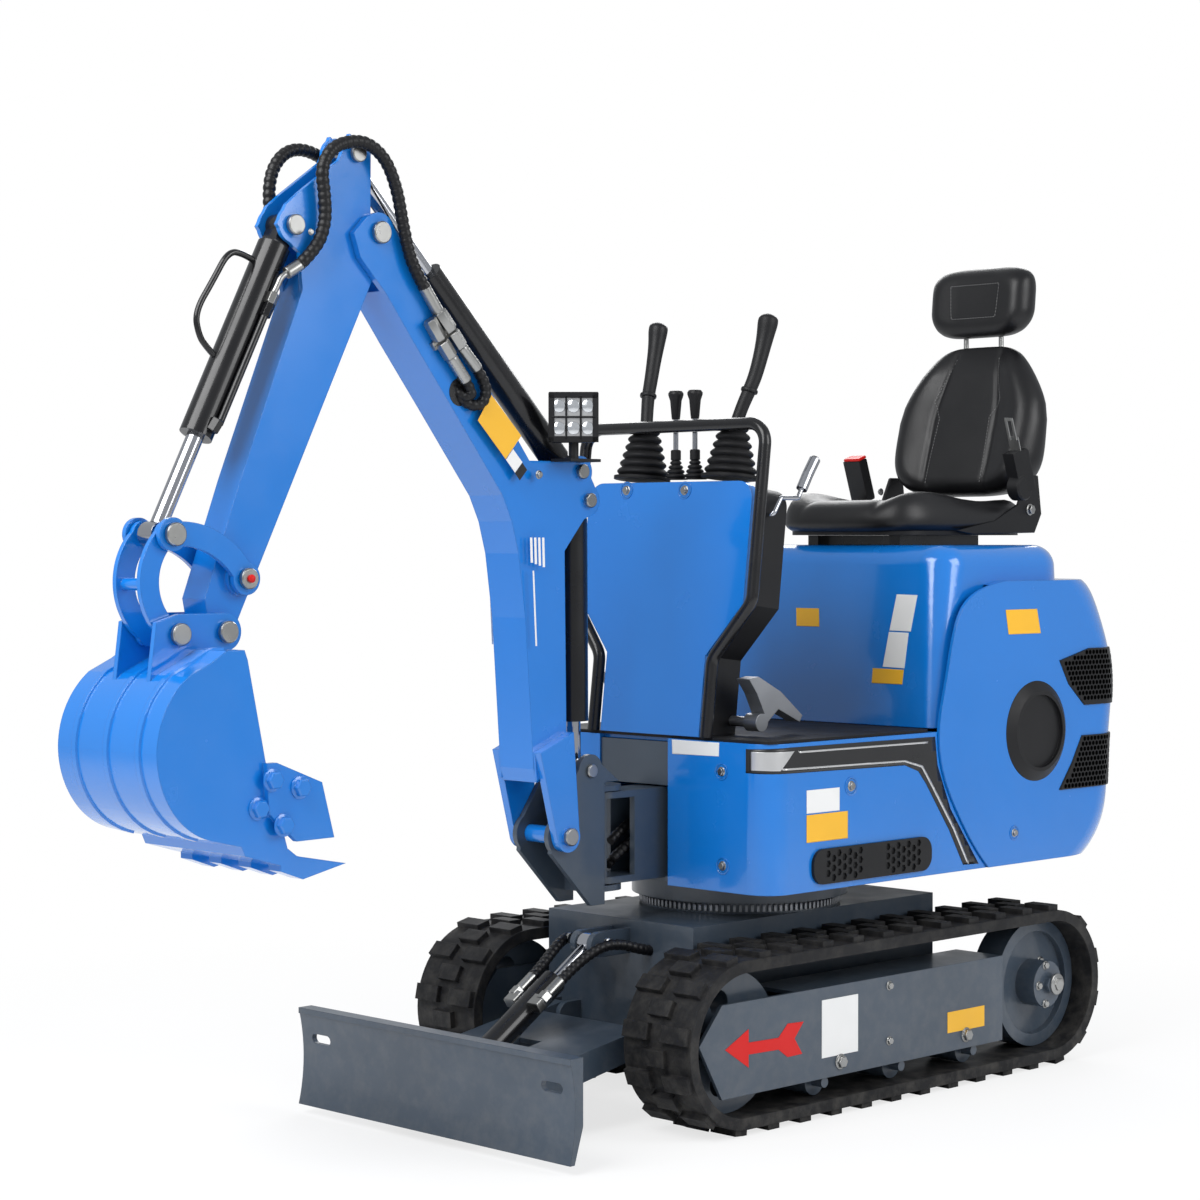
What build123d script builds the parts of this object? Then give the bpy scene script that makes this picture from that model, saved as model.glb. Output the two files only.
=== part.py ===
"""A compact tracked excavator with an open seat, as it parks: boom up, bucket half curled.

Millimetres. x points forward, y to the operator's left, z up. The ground is z = 0, the middle
of the tracks is y = 0, and x = 0 is the middle of the parked machine's length.
"""

from build123d import *
import os
from math import atan2, cos, degrees, hypot, pi, radians, sin

# Clearances
pin_gap = 0.3
side_gap = 0.5
seat_gap = 0.3

# Tracks and their frames
track_width_over = 800
belt_width = 180
wheelbase = 1029
front_axle_dx = 417
belt_radius = 168
belt_thickness = 24
lug_height = 12
lug_pitch_count = 32
lug_length = 34
lug_bite = 3
lug_rows = ((0.03, 0.40), (0.34, 0.66), (0.60, 0.97))
frame_plate = 8
frame_outer_inset = 12
frame_channel_width = 112
frame_top_z = 265
frame_bottom_z = 78
frame_rear_dx = -433
frame_nose_dx = 546
frame_nose_z = 191
frame_shoulder_dx = 480
frame_sheet_front_dx = 255
roller_radius = 30
roller_width = 84
roller_count = 3
roller_spacing = 250
roller_rear_dx = -340
motor_mount_height = 120
motor_mount_overlap = 40
roller_axle_radius = 11
wheel_gap = 1.0
idler_width = 70
idler_hole_circle = 84
idler_hole_count = 5
idler_hole_radius = 26
idler_hub_radius = 32
sprocket_disc_radius = 116
sprocket_disc_thickness = 16
sprocket_hub_radius = 52
hub_nut_radius = 17
hub_nut_reach = 4

# Lower carriage between the tracks
carriage_half_width = 212
carriage_front_dx = 375
carriage_rear_dx = -410
carriage_top_z = 390
carriage_plate = 10
carriage_bottom_z = 150
cross_tube_dx = (-250, 210)
cross_tube_length = 120
cross_tube_height = 90
cross_tube_z = 180

# Slewing ring
ring_radius = 215
ring_height = 25
upper_ring_radius = 236
ring_bore_radius = 120

# Blade
blade_pivot_dx = 412
blade_pivot_z = 178
blade_pivot_y = 150
blade_width = 800
blade_face_dx = 909
blade_bottom_z = 19
blade_top_z = 218
blade_hollow = 13
blade_sheet = 12
blade_lip_depth = 34
blade_end_plate = 8
blade_arm_height = 64
blade_arm_width = 44
blade_arm_drop_z = 92
blade_web_plate = 10
blade_pin_radius = 14
blade_ear_radius = 26
tie_slot_width = 20
tie_slot_length = 58
tie_slot_spacing = 680
tie_slot_z = 157
blade_rod_pin_dx = 463
blade_rod_pin_z = 345
blade_barrel_pin_dx = 775
blade_barrel_pin_z = 143
blade_barrel_radius = 27
blade_barrel_length = 250
blade_rod_radius = 13
blade_rod_start = 122
blade_eye_radius = 22
blade_eye_half_width = 17
blade_clevis_plate = 14
blade_slot_length = 170
blade_slot_width = 64

# Upper body
body_front_dx = 289
body_rear_dx = -970
body_half_width = 341
body_bottom_z = 455
body_wall = 8
body_corner = 60
base_tail_corner = 190
hood_half_width = 346
tail_sections = (
    (455, -925, 190),
    (500, -950, 150),
    (593, -965, 115),
    (776, -970, 100),
    (932, -965, 108),
    (1017, -950, 145),
    (1070, -932, 175),
    (1088, -918, 195),
)
hood_front_dx = -200
hood_seam = (
    (-455, 440),
    (-392, 501),
    (-328, 583),
    (-276, 676),
    (-262, 768),
    (-285, 866),
    (-312, 968),
    (-345, 1032),
    (-430, 1076),
    (-560, 1092),
)
seam_gap = 2
seat_box_sections = (
    (770.3, -262, 332, -800, 30),
    (1168, -322, 317, -790, 76),
)
seat_box_shoulder = 50
seat_box_tail_corner = 110
seat_box_hollows = ((1092, -326, 310, -778), (1158, -396, 246, -668))
seat_box_hollow_corner = 90
disc_dx = -613
disc_z = 749
disc_radius = 113
disc_lip = 14
disc_dish = 8
grille_rear_dx = -233
grille_front_dx = 157
grille_bottom_z = 468
grille_top_z = 541
grille_thickness = 7
hex_size = 8
hex_pitch = 20
hex_depth = 4
corner_grilles = (
    ((-250, 905), (-330, 930), (-636, 930), (-636, 800), (-318, 800), (-275, 850)),
    ((-312, 730), (-636, 730), (-636, 610), (-250, 610), (-285, 670)),
)
corner_grille_round = 200
corner_grille_thickness = 4
floor_z = 770
floor_mat_thickness = 6
seat_box_front_dx = -256
seat_box_top_z = 1168
base_plate = 12
base_z = 461
engine_dx = -612
engine_length = 320
engine_width = 320
engine_height = 340
panel_thickness = 6
panel_inset = 4
nose_half_width = 42
nose_bottom_z = 470
nose_top_z = 660
nose_wall = 14
nose_length = 300
nose_window = 79
nose_window_front = 16
opening_left = 58
opening_right = -143
front_panel_bottom_z = 664

# Swing post and boom foot
kingpin_dx = 435
kingpin_radius = 18
post_half_width = 52
post_plate = 12
post_web_dx = 489
post_notch = 16
clamp_plate = 12
clamp_half_width = 46
clamp_gap = 2
boom_pin_dx = 591
boom_pin_z = 581
post_lobe_radius = 34
post_boss_radius = 40
post_cylinder_pin_dx = 510
post_cylinder_pin_z = 708
post_bottom_z = 432
post_rear_dx = 470
post_tip_dx = 428
post_plate_top_z = 683
cylinder_pin_radius = 14

# Boom, drawn along the line from its foot pin to the arm pin
boom_length = 1271
boom_angle = 67.96
boom_half_width = 49
boom_plate = 8
boom_foot_half_width = 73
boom_foot_plate = 18
boom_ear_plate = 14
boom_pin_radius = 18
boom_boss_radius = 32
boom_ear_radius = 38
boom_lug_u = 600
boom_lug_v = 326
arm_base_u = 662
arm_base_v = 328
cylinder_lug_radius = 32
boom_shelf_z = 1342
lamp_dx = 598
lamp_y = 92
lamp_z = 1424
lamp_size = 100
lamp_depth = 40
lamp_corner = 12
lamp_stem_radius = 10
lamp_shelf = 6
lamp_shelf_length = 84
lamp_shelf_back = 20
lamp_shelf_margin = 15

# Arm, drawn along the line from the arm pin to the bucket pin
arm_length = 831.4
arm_angle = -63.65
arm_half_width = 34
arm_plate = 8
arm_eye_u = -111
arm_eye_v = 104
bucket_cylinder_u = 86
bucket_cylinder_v = 174
rocker_pin_u = 725
arm_boss_radius = 33
arm_boss_half_width = 44
arm_head_plate = 10
arm_lobe_radius = 34
arm_pin_boss_radius = 36
arm_hose_hole_u = 18
arm_hose_hole_v = 126
arm_hose_hole_radius = 17

# Bucket and its links
bucket_half_width = 150
bucket_sheet = 8
bucket_pin_radius = 16
side_cutter_plate = 12
tooth_count = 4
tooth_width = 36
bucket_ear_half_width = 57
bucket_ear_plate = 11
bucket_link_dx = 104
bucket_link_dz = -2
bucket_back_reach = 226
rocker_plate = 11
rocker_half_width = 57
link_plate = 11
link_half_width = 42
link_pin_dx = 114
link_pin_dz = 175
link_pin_radius = 14

# Cylinders
boom_barrel_radius = 32
boom_barrel_length = 451
boom_rod_start = 70
arm_barrel_radius = 30
arm_barrel_length = 530
arm_rod_start = 276
bucket_barrel_radius = 31
bucket_barrel_length = 440
bucket_barrel_neck = 44
bucket_rod_start = 178
rod_radius = 16
eye_radius = 23
eye_half_width = 21

# Console and controls
console_foot_z = 770
console_top_z = 1300
console_lean = 64
console_depth = 118
console_setback = 2
console_knee_low = 0.32
console_knee_high = 0.53
console_corner = 40
cowl_overhang = 6
cowl_thickness = 20
rail_setback = 0
rail_foot_y = 165
rail_knee_low = 165
rail_knee_high = 285
rail_top_y = 262
rail_top = 655
console_foot_half_width = 138
console_top_half_width = 232
rail_radius = 13
stick_dx = 174
stick_half_spacing = 129
throttle_dx = 175
throttle_y = 250
throttle_z = 1231
pedal_dx = 178
pedal_z = 799
pedal_half_spacing = 205
pedal_shaft_radius = 11

# Seat
seat_front_dx = -313
seat_half_width = 208
seat_rear_dx = -830
seat_bottom_z = 1190
seat_top_z = 1290
seat_back_top_z = 1640
seat_back_half_width = 200
headrest_half_width = 135
headrest_bottom_z = 1662
headrest_top_z = 1815
seat_rail_dx = -530
seat_rail_length = 290

# Places that follow from the sizes above
arm_pin_reach = boom_pin_dx + boom_length * cos(radians(boom_angle))
bucket_pin_reach = arm_pin_reach + arm_length * cos(radians(arm_angle))
machine_front = bucket_pin_reach + bucket_back_reach
slew_x = -(machine_front + body_rear_dx) / 2
track_y = (track_width_over - belt_width) / 2
axle_z = belt_radius + lug_height
front_axle_x = slew_x + front_axle_dx
rear_axle_x = front_axle_x - wheelbase
belt_inner_radius = belt_radius - belt_thickness
frame_outer_y = track_width_over / 2 - frame_outer_inset
boom_pin_x = slew_x + boom_pin_dx
kingpin_x = slew_x + kingpin_dx

os.makedirs("parts", exist_ok=True)


def save(piece, name):
    """Name a finished piece and write it to its own file."""
    piece.label = name
    export_step(piece, "parts/" + name + ".step")


def side_view(x, z, angle=0, y=0):
    """A drawing plane seen from the machine's right: local x runs along the angle."""
    a = radians(angle)
    return Plane(origin=(x, y, z), x_dir=(cos(a), 0, sin(a)), z_dir=(0, -1, 0))


def local_point(x, z, angle, u, v):
    """The x and z of a point given along (u) and across (v) a member."""
    a = radians(angle)
    return x + u * cos(a) - v * sin(a), z + u * sin(a) + v * cos(a)


arm_pin_x, arm_pin_z = local_point(boom_pin_x, boom_pin_z, boom_angle, boom_length, 0)
bucket_pin_x, bucket_pin_z = local_point(arm_pin_x, arm_pin_z, arm_angle, arm_length, 0)
boom_lug_x, boom_lug_z = local_point(boom_pin_x, boom_pin_z, boom_angle, boom_lug_u, boom_lug_v)
arm_base_x, arm_base_z = local_point(boom_pin_x, boom_pin_z, boom_angle, arm_base_u, arm_base_v)
arm_eye_x, arm_eye_z = local_point(arm_pin_x, arm_pin_z, arm_angle, arm_eye_u, arm_eye_v)
bucket_cyl_x, bucket_cyl_z = local_point(
    arm_pin_x, arm_pin_z, arm_angle, bucket_cylinder_u, bucket_cylinder_v
)
rocker_x, rocker_z = local_point(arm_pin_x, arm_pin_z, arm_angle, rocker_pin_u, 0)
bucket_link_x = bucket_pin_x + bucket_link_dx
bucket_link_z = bucket_pin_z + bucket_link_dz
link_pin_x = bucket_pin_x + link_pin_dx
link_pin_z = bucket_pin_z + link_pin_dz
post_pin_x = slew_x + post_cylinder_pin_dx
post_pin_z = post_cylinder_pin_z
blade_pivot_x = slew_x + blade_pivot_dx
blade_rod_x = slew_x + blade_rod_pin_dx
blade_rod_z = blade_rod_pin_z
blade_barrel_x = slew_x + blade_barrel_pin_dx
blade_barrel_z = blade_barrel_pin_z


# Tracks

def loop_point(distance, radius):
    """A point and heading on the track loop, the distance measured along the given radius."""
    straight = wheelbase
    arc = pi * radius
    lap = 2 * (straight + arc)
    s = distance % lap
    if s < straight:
        return rear_axle_x + s, axle_z + radius, 0
    s -= straight
    if s < arc:
        turn = s / radius
        return front_axle_x + radius * sin(turn), axle_z + radius * cos(turn), -degrees(turn)
    s -= arc
    if s < straight:
        return front_axle_x - s, axle_z - radius, 180
    turn = (s - straight) / radius
    return rear_axle_x - radius * sin(turn), axle_z - radius * cos(turn), 180 - degrees(turn)


def build_track():
    """A rubber track: one closed belt with three staggered rows of lugs."""
    lap = 2 * (wheelbase + pi * belt_radius)
    pitch = lap / lug_pitch_count
    lug_radius = belt_radius + (lug_height - lug_bite) / 2
    with BuildPart() as track:
        with BuildSketch(side_view(
            (front_axle_x + rear_axle_x) / 2, axle_z, 0, track_y + belt_width / 2
        )):
            SlotCenterToCenter(wheelbase, 2 * belt_radius)
            SlotCenterToCenter(wheelbase, 2 * belt_inner_radius, mode=Mode.SUBTRACT)
        extrude(amount=belt_width)
        for row, (start, end) in enumerate(lug_rows):
            row_left = track_y + belt_width * (0.5 - start)
            with BuildSketch(side_view(0, 0, 0, row_left)):
                for step in range(lug_pitch_count):
                    distance = (step + 0.5 * (row % 2)) * pitch
                    x, z, heading = loop_point(distance, lug_radius)
                    with Locations(Location((x, z, 0), (0, 0, heading))):
                        Rectangle(lug_length, lug_height + lug_bite)
            extrude(amount=belt_width * (end - start))
    return track.part


def build_track_frame():
    """The long channel inside a track loop, with a pointed outer plate."""
    inner_y = frame_outer_y - frame_channel_width - 2 * frame_plate
    with BuildPart() as frame:
        for y_face in (frame_outer_y, inner_y + frame_plate):
            with BuildSketch(side_view(slew_x, 0, 0, y_face)):
                with BuildLine():
                    Polyline(
                        (frame_rear_dx, frame_bottom_z),
                        (frame_shoulder_dx, frame_bottom_z),
                        (frame_nose_dx, frame_nose_z),
                        (frame_shoulder_dx, frame_top_z),
                        (frame_rear_dx, frame_top_z),
                        close=True,
                    )
                make_face()
            extrude(amount=frame_plate)
        with Locations((
            slew_x + (frame_sheet_front_dx + frame_rear_dx) / 2,
            (frame_outer_y + inner_y) / 2,
            frame_top_z - frame_plate / 2,
        )):
            Box(
                frame_sheet_front_dx - frame_rear_dx,
                frame_channel_width + 2 * frame_plate,
                frame_plate,
            )
        mount_front = slew_x + frame_rear_dx + motor_mount_overlap
        mount_rear = rear_axle_x - motor_mount_height / 2
        with Locations(((mount_front + mount_rear) / 2, inner_y + frame_plate / 2, axle_z)):
            Box(mount_front - mount_rear, frame_plate, motor_mount_height)
        for dx in cross_tube_dx:
            with Locations((slew_x + dx, (inner_y + carriage_half_width) / 2, cross_tube_z)):
                Box(cross_tube_length, inner_y - carriage_half_width, cross_tube_height)
    return frame.part


def build_idler():
    """The front wheel of a track, with the axle that the frame plates hold."""
    with BuildPart() as idler:
        with BuildSketch(side_view(front_axle_x, axle_z, 0, track_y + idler_width / 2)):
            Circle(belt_inner_radius - wheel_gap)
            with PolarLocations(idler_hole_circle, idler_hole_count):
                Circle(idler_hole_radius, mode=Mode.SUBTRACT)
        extrude(amount=idler_width)
        with BuildSketch(side_view(
            front_axle_x, axle_z, 0, frame_outer_y - frame_plate - side_gap
        )):
            Circle(idler_hub_radius)
        extrude(amount=frame_channel_width - 2 * side_gap)
    return idler.part


def build_sprocket():
    """The driven wheel at the rear: a domed disc, its hub and the castle nut."""
    with BuildPart() as sprocket:
        with BuildSketch(side_view(rear_axle_x, axle_z, 0, track_y + idler_width / 2)):
            Circle(belt_inner_radius - wheel_gap)
        extrude(amount=idler_width)
        with BuildSketch(side_view(rear_axle_x, axle_z, 0, track_y + idler_width / 2)):
            Circle(sprocket_disc_radius)
        extrude(amount=sprocket_disc_thickness, mode=Mode.SUBTRACT)
        with BuildSketch(side_view(rear_axle_x, axle_z, 0, frame_outer_y - frame_plate)):
            Circle(sprocket_hub_radius)
        extrude(amount=frame_channel_width - side_gap)
        with BuildSketch(side_view(rear_axle_x, axle_z, 0, frame_outer_y + hub_nut_reach)):
            RegularPolygon(hub_nut_radius, 6)
        extrude(amount=frame_plate + hub_nut_reach + 1)
    return sprocket.part


def build_rollers():
    """The bottom rollers of one track, each on its own axle between the frame plates."""
    roller_z = axle_z - belt_inner_radius + wheel_gap + roller_radius
    with BuildPart() as rollers:
        for number in range(roller_count):
            x = slew_x + roller_rear_dx + number * roller_spacing
            with BuildSketch(side_view(x, roller_z, 0, track_y + roller_width / 2)):
                Circle(roller_radius)
            extrude(amount=roller_width)
            with BuildSketch(side_view(x, roller_z, 0, frame_outer_y - frame_plate)):
                Circle(roller_axle_radius)
            extrude(amount=frame_channel_width)
    return rollers.part


for name, piece in (
    ("track", build_track()),
    ("track_frame", build_track_frame()),
    ("idler", build_idler()),
    ("sprocket", build_sprocket()),
    ("rollers", build_rollers()),
):
    save(piece, name + "_left")
    save(mirror(piece, Plane.XZ), name + "_right")


# Lower carriage

with BuildPart() as lower_carriage:
    carriage_length = carriage_front_dx - carriage_rear_dx
    carriage_middle = slew_x + (carriage_front_dx + carriage_rear_dx) / 2
    with Locations((carriage_middle, 0, carriage_top_z - carriage_plate / 2)):
        Box(carriage_length, 2 * carriage_half_width, carriage_plate)
    with BuildSketch(Plane.XY.offset(carriage_bottom_z)):
        with Locations((carriage_middle, 0)):
            Rectangle(carriage_length, 2 * carriage_half_width)
            Rectangle(
                carriage_length - 2 * carriage_plate,
                2 * (carriage_half_width - carriage_plate),
                mode=Mode.SUBTRACT,
            )
    extrude(amount=carriage_top_z - carriage_plate - carriage_bottom_z)
    with Locations((carriage_middle, 0, carriage_bottom_z + carriage_plate / 2)):
        Box(carriage_length, 2 * carriage_half_width, carriage_plate)
    ear_inner = blade_eye_half_width + side_gap
    ear_reach = blade_rod_pin_dx - carriage_front_dx
    for y_left in (ear_inner + blade_clevis_plate, -ear_inner):
        with BuildSketch(side_view(slew_x + carriage_front_dx, blade_rod_pin_z, 0, y_left)):
            with Locations((ear_reach / 2, 0)):
                Rectangle(ear_reach, 2 * blade_ear_radius)
            with Locations((ear_reach, 0)):
                Circle(blade_ear_radius)
        extrude(amount=blade_clevis_plate)
    pivot_reach = blade_pivot_dx - carriage_front_dx
    lug_inner = blade_arm_width / 2 + side_gap
    for side in (1, -1):
        for face in (lug_inner + blade_clevis_plate, -lug_inner):
            y_left = side * blade_pivot_y + face
            with BuildSketch(side_view(slew_x + carriage_front_dx, blade_pivot_z, 0, y_left)):
                with Locations((pivot_reach / 2, 0)):
                    Rectangle(pivot_reach, 2 * blade_ear_radius)
                with Locations((pivot_reach, 0)):
                    Circle(blade_ear_radius)
            extrude(amount=blade_clevis_plate)
        pin_length = 2 * (lug_inner + blade_clevis_plate)
        with BuildSketch(side_view(
            blade_pivot_x, blade_pivot_z, 0, side * blade_pivot_y + pin_length / 2
        )):
            Circle(blade_pin_radius)
        extrude(amount=pin_length)
save(lower_carriage.part, "lower_carriage")

with BuildPart() as slew_ring:
    with BuildSketch(Plane.XY.offset(carriage_top_z)):
        with Locations((slew_x, 0)):
            Circle(ring_radius)
            Circle(ring_bore_radius, mode=Mode.SUBTRACT)
    extrude(amount=ring_height)
save(slew_ring.part, "slew_ring")


# Blade and its cylinder

with BuildPart() as blade:
    face_x = slew_x + blade_face_dx
    middle_z = (blade_top_z + blade_bottom_z) / 2
    with BuildSketch(side_view(face_x, 0, 0, blade_width / 2)):
        with BuildLine():
            ThreePointArc((0, blade_bottom_z), (-blade_hollow, middle_z), (0, blade_top_z))
            Line((0, blade_top_z), (-blade_sheet, blade_top_z))
            ThreePointArc(
                (-blade_sheet, blade_top_z),
                (-blade_hollow - blade_sheet, middle_z),
                (-blade_sheet, blade_bottom_z),
            )
            Line((-blade_sheet, blade_bottom_z), (0, blade_bottom_z))
        make_face()
        with Locations((-blade_lip_depth / 2, blade_top_z - blade_sheet / 2)):
            Rectangle(blade_lip_depth, blade_sheet)
    extrude(amount=blade_width)
    for y_left in (blade_width / 2, -blade_width / 2 + blade_end_plate):
        with BuildSketch(side_view(face_x, 0, 0, y_left)):
            with BuildLine():
                ThreePointArc((0, blade_bottom_z), (-blade_hollow, middle_z), (0, blade_top_z))
                Polyline(
                    (0, blade_top_z),
                    (-blade_lip_depth, blade_top_z),
                    (-blade_lip_depth, middle_z - 30),
                    (-blade_sheet, blade_bottom_z),
                    (0, blade_bottom_z),
                )
            make_face()
        extrude(amount=blade_end_plate)
    with BuildSketch(Plane(origin=(face_x, 0, tie_slot_z), x_dir=(0, 1, 0), z_dir=(1, 0, 0))):
        with GridLocations(tie_slot_spacing, 1, 2, 1):
            SlotOverall(tie_slot_length, tie_slot_width)
    extrude(amount=-(blade_hollow + blade_sheet + 1), mode=Mode.SUBTRACT)
    arm_run = blade_face_dx - blade_hollow - blade_sheet / 2 - blade_pivot_dx
    arm_half = blade_arm_height / 2
    for side in (1, -1):
        y_left = side * blade_pivot_y + blade_arm_width / 2
        with BuildSketch(side_view(blade_pivot_x, 0, 0, y_left)):
            with BuildLine():
                Polyline(
                    (0, blade_pivot_z + blade_ear_radius),
                    (arm_run, blade_arm_drop_z + arm_half),
                    (arm_run, blade_arm_drop_z - arm_half),
                    (0, blade_pivot_z - blade_ear_radius),
                    close=True,
                )
            make_face()
            with Locations((0, blade_pivot_z)):
                Circle(blade_ear_radius)
                Circle(blade_pin_radius + pin_gap, mode=Mode.SUBTRACT)
        extrude(amount=blade_arm_width)
    web_start = 70
    web_slope = (blade_arm_drop_z + arm_half - blade_pivot_z - blade_ear_radius) / arm_run
    web_half = blade_pivot_y - blade_arm_width / 2
    with BuildSketch(side_view(blade_pivot_x, blade_pivot_z + blade_ear_radius, 0, web_half)):
        with BuildLine():
            Polyline(
                (web_start, web_start * web_slope),
                (arm_run, arm_run * web_slope),
                (arm_run, arm_run * web_slope - blade_web_plate),
                (web_start, web_start * web_slope - blade_web_plate),
                close=True,
            )
        make_face()
    extrude(amount=2 * web_half)
    with Locations((blade_barrel_x - blade_slot_length / 2 + blade_ear_radius, 0, blade_barrel_z)):
        Box(blade_slot_length, blade_slot_width, blade_slot_width, mode=Mode.SUBTRACT)
    barrel_lug_inner = blade_eye_half_width + side_gap
    lug_reach = blade_face_dx - blade_hollow - blade_sheet / 2 - blade_barrel_pin_dx
    for y_left in (barrel_lug_inner + blade_clevis_plate, -barrel_lug_inner):
        with BuildSketch(side_view(blade_barrel_x, blade_barrel_z, 0, y_left)):
            Circle(blade_ear_radius)
            with Locations((lug_reach / 2, -blade_ear_radius / 2)):
                Rectangle(lug_reach, blade_ear_radius)
        extrude(amount=blade_clevis_plate)
    lug_outer = barrel_lug_inner + blade_clevis_plate
    with BuildSketch(side_view(blade_barrel_x, blade_barrel_z, 0, lug_outer)):
        Circle(blade_pin_radius)
    extrude(amount=2 * lug_outer)
save(blade.part, "blade")


def build_barrel(x, z, to_x, to_z, radius, length, bore, neck, eye_r, eye_half, pin_r):
    """A cylinder's tube with its base eye, drawn from the base pin towards the rod's pin."""
    angle = degrees(atan2(to_z - z, to_x - x))
    cap = 0.6 * radius
    with BuildPart() as barrel:
        with BuildSketch(side_view(x, z, angle, eye_half)):
            Circle(eye_r)
            with Locations((neck / 2, 0)):
                Rectangle(neck, 1.5 * eye_r)
        extrude(amount=2 * eye_half)
        a = radians(angle)
        along = Plane(origin=(x, 0, z), x_dir=(0, 1, 0), z_dir=(cos(a), 0, sin(a)))
        with BuildSketch(along.offset(neck)):
            Circle(radius)
        extrude(amount=length - neck)
        with BuildSketch(along.offset(neck + cap)):
            Circle(bore + pin_gap)
        extrude(amount=length - neck - cap, mode=Mode.SUBTRACT)
        with BuildSketch(side_view(x, z, angle, eye_half)):
            Circle(pin_r + pin_gap)
        extrude(amount=2 * eye_half, mode=Mode.SUBTRACT)
    return barrel.part


def build_rod(x, z, to_x, to_z, length, start, rod_r, eye_r, eye_half, pin_r):
    """A piston rod from inside its tube to the eye at the far pin."""
    angle = degrees(atan2(to_z - z, to_x - x))
    reach = hypot(to_x - x, to_z - z)
    a = radians(angle)
    along = Plane(origin=(x, 0, z), x_dir=(0, 1, 0), z_dir=(cos(a), 0, sin(a)))
    with BuildPart() as rod:
        with BuildSketch(along.offset(start)):
            Circle(rod_r)
        extrude(amount=reach - start - eye_r * 0.8)
        with BuildSketch(side_view(to_x, to_z, angle, eye_half)):
            Circle(eye_r)
            Circle(pin_r + pin_gap, mode=Mode.SUBTRACT)
        extrude(amount=2 * eye_half)
    return rod.part


save(build_barrel(
    blade_barrel_x, blade_barrel_z, blade_rod_x, blade_rod_z, blade_barrel_radius,
    blade_barrel_length, blade_rod_radius, blade_ear_radius + 4, blade_eye_radius,
    blade_eye_half_width, blade_pin_radius,
), "blade_cylinder_barrel")
save(build_rod(
    blade_barrel_x, blade_barrel_z, blade_rod_x, blade_rod_z, blade_barrel_length,
    blade_rod_start, blade_rod_radius, blade_eye_radius, blade_eye_half_width,
    blade_pin_radius,
), "blade_cylinder_rod")


# Upper frame

with BuildPart() as upper_ring:
    with BuildSketch(Plane.XY.offset(carriage_top_z + ring_height + seat_gap)):
        with Locations((slew_x, 0)):
            Circle(upper_ring_radius)
            Circle(ring_bore_radius, mode=Mode.SUBTRACT)
    extrude(amount=base_z - carriage_top_z - ring_height - seat_gap)
save(upper_ring.part, "upper_ring")

with BuildPart() as upper_frame:
    base_front = slew_x + body_front_dx - body_wall - 2
    base_rear = slew_x + tail_sections[0][1] + body_wall + 2
    base_half = body_half_width - body_wall - 2
    with BuildSketch(Plane.XY.offset(base_z)):
        with Locations(((base_front + base_rear) / 2, 0)):
            RectangleRounded(base_front - base_rear, 2 * base_half, base_tail_corner)
    extrude(amount=base_plate)
    nose_rear = kingpin_x - nose_length
    with BuildSketch(Plane.XY.offset(nose_bottom_z)):
        with Locations(((kingpin_x + nose_rear) / 2, 0)):
            Rectangle(kingpin_x - nose_rear, 2 * nose_half_width)
        with Locations((kingpin_x, 0)):
            Circle(nose_half_width)
    extrude(amount=nose_top_z - nose_bottom_z)
    window_z = (nose_top_z + nose_bottom_z) / 2
    window_height = nose_top_z - nose_bottom_z - 2 * nose_wall
    with Locations((kingpin_x - nose_window / 2 + nose_window_front, 0, window_z)):
        Box(nose_window, 2 * nose_half_width + 2, window_height, mode=Mode.SUBTRACT)
    with Locations(((kingpin_x + nose_rear) / 2 - 3 * nose_wall, 0, window_z)):
        Box(
            kingpin_x - nose_rear,
            2 * (nose_half_width - nose_wall),
            window_height,
            mode=Mode.SUBTRACT,
        )
    web_height = nose_bottom_z - base_z
    with Locations(((base_front + nose_rear) / 2, 0, base_z + web_height / 2)):
        Box(base_front - nose_rear, 2 * nose_half_width, web_height)
save(upper_frame.part, "upper_frame")

with BuildPart() as engine:
    with Locations((
        slew_x + engine_dx, 0, base_z + base_plate + engine_height / 2
    )):
        Box(engine_length, engine_width, engine_height)
save(engine.part, "engine_block")


# Body shells

def seam_region(shift):
    """Everything behind the curved seam between the skirt and the rear hood."""
    with BuildPart() as region:
        with BuildSketch(side_view(slew_x + shift, 0, 0, body_half_width + 60)):
            with BuildLine():
                Spline(*hood_seam)
                Polyline(hood_seam[-1], (-560, 1200), (-1100, 1200), (-1100, 440), hood_seam[0])
            make_face()
        extrude(amount=2 * body_half_width + 120)
    return region.part


def tail_shape(inset):
    """The solid inside the hood's surface, drawn in by the given amount; negative grows it."""
    with BuildPart() as shape:
        for number, (z, rear_dx, corner) in enumerate(tail_sections):
            if number == 0:
                z -= 1 if inset > 0 else 0
            if number == len(tail_sections) - 1:
                z -= inset
            front = slew_x + hood_front_dx
            rear = slew_x + rear_dx + inset
            with BuildSketch(Plane.XY.offset(z)):
                with Locations(((front + rear) / 2, 0)):
                    Rectangle(front - rear, 2 * (hood_half_width - inset))
                fillet(vertices().sort_by(Axis.X)[:2], corner - inset)
        loft()
    return shape.part


def seat_box_shape(grow):
    """The solid of the box that carries the seat, grown by the given amount."""
    with BuildPart() as shape:
        for z, front_dx, half, rear_dx, corner in seat_box_sections:
            if z > seat_box_sections[0][0]:
                z += grow
            front = slew_x + front_dx + grow
            rear = slew_x + rear_dx - grow
            with BuildSketch(Plane.XY.offset(z)):
                with Locations(((front + rear) / 2, 0)):
                    Rectangle(front - rear, 2 * (half + grow))
                fillet(vertices().sort_by(Axis.X)[:2], seat_box_tail_corner + grow)
                fillet(vertices().sort_by(Axis.X)[-2:], corner + grow)
        loft(ruled=True)
        fillet(faces().sort_by(Axis.Z)[-1].edges(), seat_box_shoulder + grow)
    return shape.part


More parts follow.
